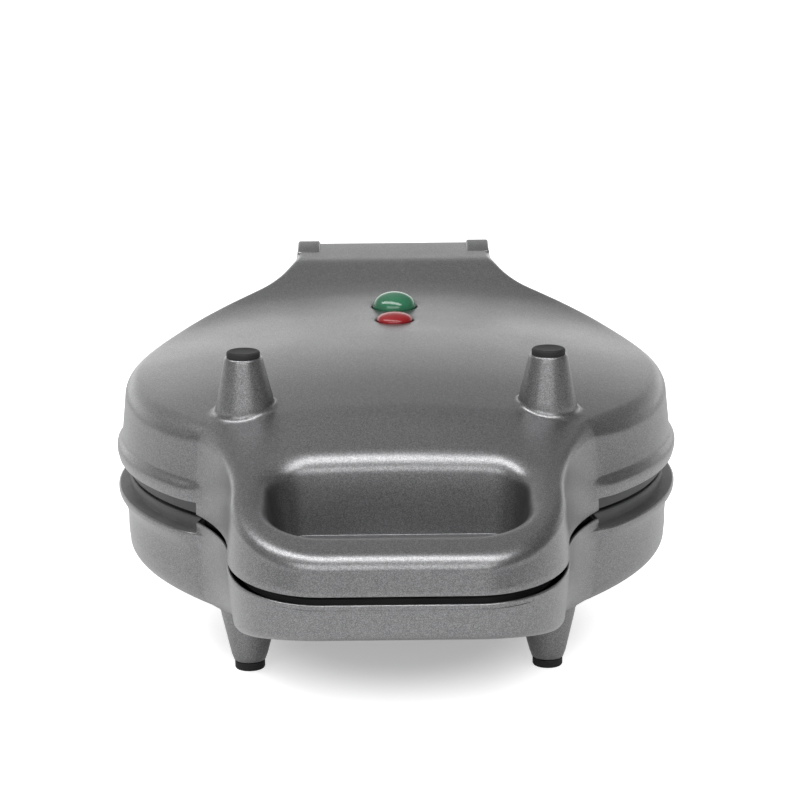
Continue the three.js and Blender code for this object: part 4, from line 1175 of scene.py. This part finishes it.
def makeHeater():
    spec = heaterSpec
    curve = bpy.data.curves.new("heater", "CURVE")
    curve.dimensions = "3D"
    curve.bevel_depth, curve.bevel_resolution, curve.use_fill_caps = spec["tube"] * mm, 5, True
    points = heaterPath()
    spline = curve.splines.new("POLY")
    spline.points.add(len(points) - 1)
    for knot, point in zip(spline.points, points):
        knot.co = (*place(*point), 1)
    newObject("heater", curve)
    bpy.ops.object.convert(target="MESH")
    return joinAll(bpy.context.object, [spun("pin", spec["pin"], 24, points[end]) for end in (0, -1)])


makeBoth("Heater", makeHeater(), "heater", "heater", 45)
print("heaters made")


# pressed reflector pans with stiffening rings, held by two screws each
panSpec = {
    "profile": [(0, 24.2), (40, 24.2), (41.2, 23.75), (44.6, 23.75), (45.8, 24.2), (74, 24.2),
                (75.2, 23.75), (78.6, 23.75), (79.8, 24.2), (87.6, 24.2), (88.6, 23.8), (89.1, 22.8),
                (89.7, 18), (90.2, 17.5), (90.9, 17.4), (90.9, 17.9), (90.6, 18.3), (90.1, 23), (89.5, 24.5),
                (88.2, 25.2), (80.2, 25.2), (79, 24.75), (74.8, 24.75), (73.6, 25.2), (46.2, 25.2),
                (45, 24.75), (40.8, 24.75), (39.6, 25.2), (0, 25.2)],
    # radius, x, y of the holes for screws, heater legs and thermostat
    "holes": [(1.8, -28, 0), (1.8, 28, 0), (7.6, 14.04, 56.3), (7.6, -14.04, 56.3), (9.5, 0, 30)],
}


def makePan():
    pan = spun("pan", panSpec["profile"], 128, (0, 0, splitHeight))
    carve(pan, [rod("hole", radius, 20, 28, 40, (x, y, splitHeight)) for radius, x, y in panSpec["holes"]])
    return pan


makeBoth("Reflector", makePan(), "pan", "reflector", 30)
print("reflectors made")


# disc thermostats against the back of each plate
thermostatSpec = {
    "back": 30, "tabAcross": 4.2, "tabHalf": (1.3, 0.4), "tabLevels": (26.6, 27.9), "soft": 0.15,
    "profile": [(0, 17.35), (8.1, 17.35), (8.45, 17.7), (8.45, 19.2), (7.9, 19.4), (7.9, 22.6), (8.45, 22.9),
                (8.45, 25.0), (8.1, 25.4), (6.1, 25.5), (5.9, 27.6), (5.6, 27.9), (2.6, 27.9), (2.4, 27.5),
                (0, 27.5)],
}


def makeThermostat():
    spec = thermostatSpec
    back, across, (halfX, halfY) = spec["back"], spec["tabAcross"], spec["tabHalf"]
    low, high = [atLevel(level) for level in spec["tabLevels"]]
    body = spun("thermostat", spec["profile"], 48, (0, back, splitHeight))
    tabs = [brick("tab", (x - halfX, back - halfY, low), (x + halfX, back + halfY, high), spec["soft"])
            for x in (-across, across)]
    return joinAll(body, tabs)


makeBoth("Thermostat", makeThermostat(), "ceramic", "thermostat")


# screws: rounded head with a cross recess, threaded shank
screwSpec = {
    "head": [(0, 0.02), (1.6, 0.06), (2.5, 0.28), (3.05, 0.7), (3.2, 1.2), (3.2, 1.75), (3.05, 2), (1.5, 2)],
    "shank": 1.5, "root": 1.22, "pitch": 0.9, "threadFrom": 3, "threadEnd": 1.6,
    # radius, distance from the tip
    "tip": [(1.22, 1), (0.5, 0.1), (0, 0)],
    # half length, half width, height over the head's top, depth
    "slot": (1.75, 0.4, 0.5, 1.1),
    "lid": {"length": 23.1, "height": 61.3}, "base": {"length": 24.2, "height": 33.3},
    "plate": {"length": 9.9, "level": 27.5},
}


def makeScrew(length):
    spec = screwSpec
    profile, height = list(spec["head"]), spec["threadFrom"]
    while height < length - spec["threadEnd"]:
        profile += [(spec["root"], height), (spec["shank"], height + spec["pitch"] / 2)]
        height += spec["pitch"]
    profile += [(r, length - reach) for r, reach in spec["tip"]]
    screw = spun("screw", profile, 20, (0, -middleY, 0))
    reach, half, above, deep = spec["slot"]
    for x, y in ((reach, half), (half, reach)):
        carve(screw, [brick("slot", (-x, -y - middleY, -above), (x, y - middleY, deep))])
    return screw


def placeScrews(length, rows):
    # each row: node, body, x, y, height of the head, way of the tip
    model = makeScrew(length)
    for node, body, x, y, height, way in rows:
        matrix = Matrix.Translation(place(x, y, height)) @ Matrix.Diagonal((1, 1, way, 1))
        words = node.split("_")
        name = words[0] + "".join(word.title() for word in words[1:])
        finishPiece(copied(model, name, matrix), body, "steel", node)
    bpy.data.objects.remove(model)


for body in ("lid", "base"):
    spec = screwSpec[body]
    placeScrews(spec["length"], [(f"{body}_screw_{k + 1}", body, x, y, spec["height"], 1)
                                 for k, (x, y) in enumerate(screwPlaces())])
spec = screwSpec["plate"]
placeScrews(spec["length"], [(f"{label}_plate_screw_{name}", body, x, y, atLevel(side * spec["level"]), -side)
                             for (label, body, _), side in zip(halves, (1, -1))
                             for name, (x, y) in zip(sideNames, plateScrews)])
print("screws made")


# hinge pins, rear pads and the cord inlet bushing
pinSpec = {
    # radius, distance from the inner or the outer end
    "inner": [(0, 0), (1.9, 0), (2.4, 0.5)],
    "outer": [(2.4, 1.6), (2.45, 1.4), (2.45, 0.5), (1.9, 0), (1.1, 0), (0.9, 0.4), (0, 0.5)],
}
bushingSpec = {
    "flange": 2.3, "bore": 4,
    # radius, distance from the end
    "inner": [(4, 0), (5.2, 0), (5.5, -0.4)], "collar": [(5.5, 0), (7.6, 0), (8, -0.4)],
    "outer": [(8, 0.9), (7.6, 0.35), (6.9, 0.05), (4.9, 0), (4.35, 0.3), (4, 0.9)],
}


def boxOf(node):
    # a node's box in millimetres from the round body's middle
    return [(corner.x / mm, corner.y / mm - middleY, corner.z / mm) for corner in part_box(node)]


def makeHingePin(name, side):
    node = f"hinge_pin_{name}"
    low, high = boxOf(node)
    inner, outer = sorted((low[0], high[0]), key=abs)
    profile = [(r, inner + side * reach) for r, reach in pinSpec["inner"]]
    profile += [(r, outer - side * reach) for r, reach in pinSpec["outer"]]
    pin = spun("hingePin" + name.title(), profile, 36, (0, hingeY, splitHeight), "X")
    editMesh(pin, outwards)
    finishPiece(pin, "base", "steel", node)


for name, side in zip(sideNames, (-1, 1)):
    makeHingePin(name, side)
for side, (x, y) in zip(sideNames, rearFeet):
    makePad(f"rearPad_{side}", x, y, f"rear_foot_pad_{side}", *padSpec["rear"])


def makeBushing():
    spec = bushingSpec
    (_, near, low), (_, far, high) = boxOf("cord_inlet_bushing")
    flange = far - spec["flange"]
    profile = [(r, end - reach) for part, end in (("inner", near), ("collar", flange), ("outer", far))
               for r, reach in spec[part]] + [(spec["bore"], near)]
    bushing = spun("cordInletBushing", [(r, y - rearWallY) for r, y in profile], 64,
                   (0, rearWallY, (low + high) / 2), "Y")
    finishPiece(bushing, "base", "rubber", "cord_inlet_bushing")


makeBushing()
print("pins, rear pads and bushing made")


# terminal block, thermal fuse, lamps and their holder
blockSpec = {
    "foot": 0.55, "pitch": 0.32, "half": 4, "inset": 1.5, "raised": 1, "sunk": 0.6, "soft": (0.5, 0.6),
    "screw": [(0, -0.9), (2.4, -0.9), (2.4, -0.3), (2.1, 0), (0, 0)],
}
fuseSpec = {
    "lead": 0.5, "leadLength": (2.6, 2.2),
    # share of the radius, distance from the end
    "left": [(0.8, 2.7), (1, 3.2)], "right": [(1, 4), (0.92, 3.8), (0.92, 3.4), (0.6, 2.4)],
}
lampSpec = {"foot": [(0.75, 0), (0.75, 0.2), (1, 0.26), (1, 0.6)], "dome": 0.6}
holderSpec = {
    "plate": 2.3, "inset": 0.1, "rib": 1.1, "ribInset": 2.4, "cross": 0.8, "crossInset": 1.5, "edge": 4,
    "raised": 0.6, "cover": 1, "soft": (0.4, 0.3),
}


def makeTerminalBlock():
    spec = blockSpec
    (x0, y0, z0), (x1, y1, z1) = boxOf("terminal_block")
    half, inset = spec["half"], spec["inset"]
    foot = brick("terminalBlock", (x0, y0, z0), (x1, y1, z0 + (z1 - z0) * spec["foot"]), spec["soft"][0])
    extras = []
    for x in [k * (x1 - x0) * spec["pitch"] for k in (-1, 0, 1)]:
        extras.append(brick("terminal", (x - half, y0 + inset, z0 + spec["raised"]),
                            (x + half, y1 - inset, z1 - spec["sunk"]), spec["soft"][1]))
        extras.append(spun("terminalScrew", [(r, z1 + rise) for r, rise in spec["screw"]], 28,
                           (x, (y0 + y1) / 2, 0)))
    finishPiece(joinAll(foot, extras), "base", "ceramic", "terminal_block")


def makeFuse():
    lead, (leftLead, rightLead) = fuseSpec["lead"], fuseSpec["leadLength"]
    (_, y0, z0), (end, y1, z1) = boxOf("thermal_fuse")
    r = (z1 - z0) / 2
    profile = [(0, -end), (lead, -end), (lead, leftLead - end)]
    profile += [(r * share, reach - end) for share, reach in fuseSpec["left"]]
    profile += [(r * share, end - reach) for share, reach in fuseSpec["right"]]
    profile += [(lead, end - rightLead), (lead, end), (0, end)]
    fuse = spun("thermalFuse", profile, 36, (0, (y0 + y1) / 2, (z0 + z1) / 2), "X")
    finishPiece(fuse, "base", "fuse", "thermal_fuse")


def makeLamp(kind):
    node = f"{kind}_lamp"
    (x0, y0, z0), (x1, y1, z1) = boxOf(node)
    r, tall, dome = min(x1 - x0, y1 - y0) / 2, z1 - z0, lampSpec["dome"]
    profile = [(0, z0)] + [(r * share, z0 + tall * rise) for share, rise in lampSpec["foot"]]
    profile += [(r * cos(turn), z0 + tall * (dome + (1 - dome) * sin(turn)))
                for turn in quarterTurns(6, 1)[:-1]]
    lamp = spun(f"{kind}Lamp", profile + [(0, z1)], 32, ((x0 + x1) / 2, (y0 + y1) / 2, 0))
    finishPiece(lamp, "lid", "lamp", node, 45)


def makeLampHolder():
    spec = holderSpec
    (x0, y0, z0), (x1, y1, z1) = boxOf("lamp_holder")
    top, rib, cross, far = z1 - spec["cover"], spec["rib"], spec["cross"], x1 - spec["ribInset"]
    inset, (softPlate, softRib) = spec["inset"], spec["soft"]
    plate = brick("lampHolder", (x0 + inset, y0, z1 - spec["plate"]), (x1 - inset, y1, z1), softPlate)
    ribs = [brick("rib", (x - rib, y0, z0), (x + rib, y1, top), softPlate) for x in (-far, far)]
    left, right = x0 + spec["crossInset"], x1 - spec["crossInset"]
    ribs += [brick("crossRib", (left, y - cross, z0 + spec["raised"]), (right, y + cross, top), softRib)
             for y in (y0 + spec["edge"], (y0 + y1) / 2, y1 - spec["edge"])]
    finishPiece(joinAll(plate, ribs), "lid", "frame", "lamp_holder")


makeTerminalBlock()
makeFuse()
for kind in lidShell["lenses"]:
    makeLamp(kind)
makeLampHolder()
print("terminal block, fuse and lamps made")


# floor, lights and camera
stage = {
    "radius": 9, "tone": 0.6, "mirrored": 0.34,
    # the floor's own glow grows from near to far round a spot, which paints a shadow under the object's front
    "paintedShadowAt": (0, -0.02, 0), "reach": (0.035, 0.1), "glow": (0.36, 1.0),
}
room = {
    "height": (0.4, 0.58), "rightSide": 0.5, "rightRange": (-0.3, 0.7),
    # the white sweep behind the object
    "sweep": 1.45, "sweepRange": (0.1, 0.5), "behindRange": (0.3, 0.9),
}
lightAim = (0, 0, 0.06)
softboxes = [
    # name, place, width, height, power
    ("frontTopBox", (-0.2, -0.42, 1.4), 2.8, 0.5, 25),
    ("frontLowBox", (-0.2, -1.7, 0.85), 2.4, 0.8, 14),
]
view = {"from": (-0.0034, -0.9469, 0.3364), "to": (0, 0.016, 0.0666), "roll": -0.55, "lens": 110.9,
        "sensor": 36, "shift": (0.0049, 0.0564)}


def makeFloor():
    deselect()
    bpy.ops.mesh.primitive_circle_add(vertices=96, radius=stage["radius"], fill_type="NGON")
    floor = bpy.context.object
    floor.name = "floor"
    material, tree, shader = newFinish("paleFloor", Roughness=0.9, Specular_IOR_Level=0.1)
    grain = useGroup(tree, grainGroup, Scale=300, Waves=4)
    tone = stage["tone"]
    shade(tree, grain.outputs["Waves"], (tone,) * 3, (tone + 0.01,) * 3, shader.inputs["Base Color"])
    # the floor looks white to the camera, less so in reflections, and less near the front, where the lower
    # glow is a painted shadow
    path = addNode(tree, "ShaderNodeLightPath").outputs
    seen = addMath(tree, "MULTIPLY_ADD", path["Is Glossy Ray"], stage["mirrored"], path["Is Camera Ray"])
    seen = addMath(tree, "ADD", seen, path["Is Transmission Ray"], clamp=True)
    spot = addNode(tree, "ShaderNodeTexCoord").outputs["Object"]
    reach = addNode(tree, "ShaderNodeVectorMath", [(spot, 0)], operation="DISTANCE", in_1=stage["paintedShadowAt"])
    # the glow is lowest at the spot: this is a painted shadow, not one cast by the lights
    rise = addRange(tree, reach.outputs["Value"], *stage["reach"], *stage["glow"])
    glow = addNode(tree, "ShaderNodeEmission", [(addMath(tree, "MULTIPLY", seen, rise), "Strength")])
    total = addNode(tree, "ShaderNodeAddShader", [(shader.outputs[0], 0), (glow.outputs[0], 1)])
    tree.links.new(total.outputs[0], tree.nodes["Material Output"].inputs["Surface"])
    floor.data.materials.append(material)


def makeWorld():
    world = bpy.data.worlds.new("studio")
    bpy.context.scene.world = world
    world.use_nodes = True
    tree = world.node_tree
    back = tree.nodes["Background"]
    back.inputs["Color"].default_value = (1, 1, 1, 1)
    spot = addNode(tree, "ShaderNodeTexCoord").outputs["Generated"]
    way = addNode(tree, "ShaderNodeSeparateXYZ", [(spot, 0)]).outputs
    height = addRange(tree, way["Z"], 0, 1, *room["height"], "LINEAR")
    # the white sweep behind the object is the brightest part of the studio
    low = addRange(tree, way["Z"], *room["sweepRange"], room["sweep"], 0)
    sweep = addMath(tree, "MULTIPLY", low, addRange(tree, way["Y"], *room["behindRange"], 0, 1))
    # the right half of the room is darker
    side = addRange(tree, way["X"], *room["rightRange"], 1, room["rightSide"])
    total = addMath(tree, "MULTIPLY_ADD", height, side, sweep)
    # what the camera sees of the room is white
    seen = addNode(tree, "ShaderNodeLightPath").outputs["Is Camera Ray"]
    tree.links.new(addMath(tree, "MAXIMUM", total, seen), back.inputs["Strength"])


def makeLights():
    for name, spot, width, height, power in softboxes:
        deselect()
        bpy.ops.object.light_add(type="AREA", location=spot)
        lamp = bpy.context.object
        lamp.name = name
        lamp.data.shape = "RECTANGLE"
        lamp.data.size, lamp.data.size_y, lamp.data.energy = width, height, power
        lamp.rotation_euler = (Vector(lightAim) - Vector(spot)).to_track_quat("-Z", "Y").to_euler()


def makeCamera():
    deselect()
    bpy.ops.object.camera_add(location=view["from"])
    camera = bpy.context.object
    camera.name = "photoCamera"
    camera.data.lens, camera.data.sensor_width = view["lens"], view["sensor"]
    camera.data.shift_x, camera.data.shift_y = view["shift"]
    look = (Vector(view["to"]) - camera.location).to_track_quat("-Z", "Y")
    camera.rotation_euler = (look @ Quaternion((0, 0, 1), radians(view["roll"]))).to_euler()
    bpy.context.scene.camera = camera


makeFloor()
makeWorld()
makeLights()
makeCamera()
bpy.context.scene.view_settings.view_transform = "Standard"
print("floor, lights and camera set")
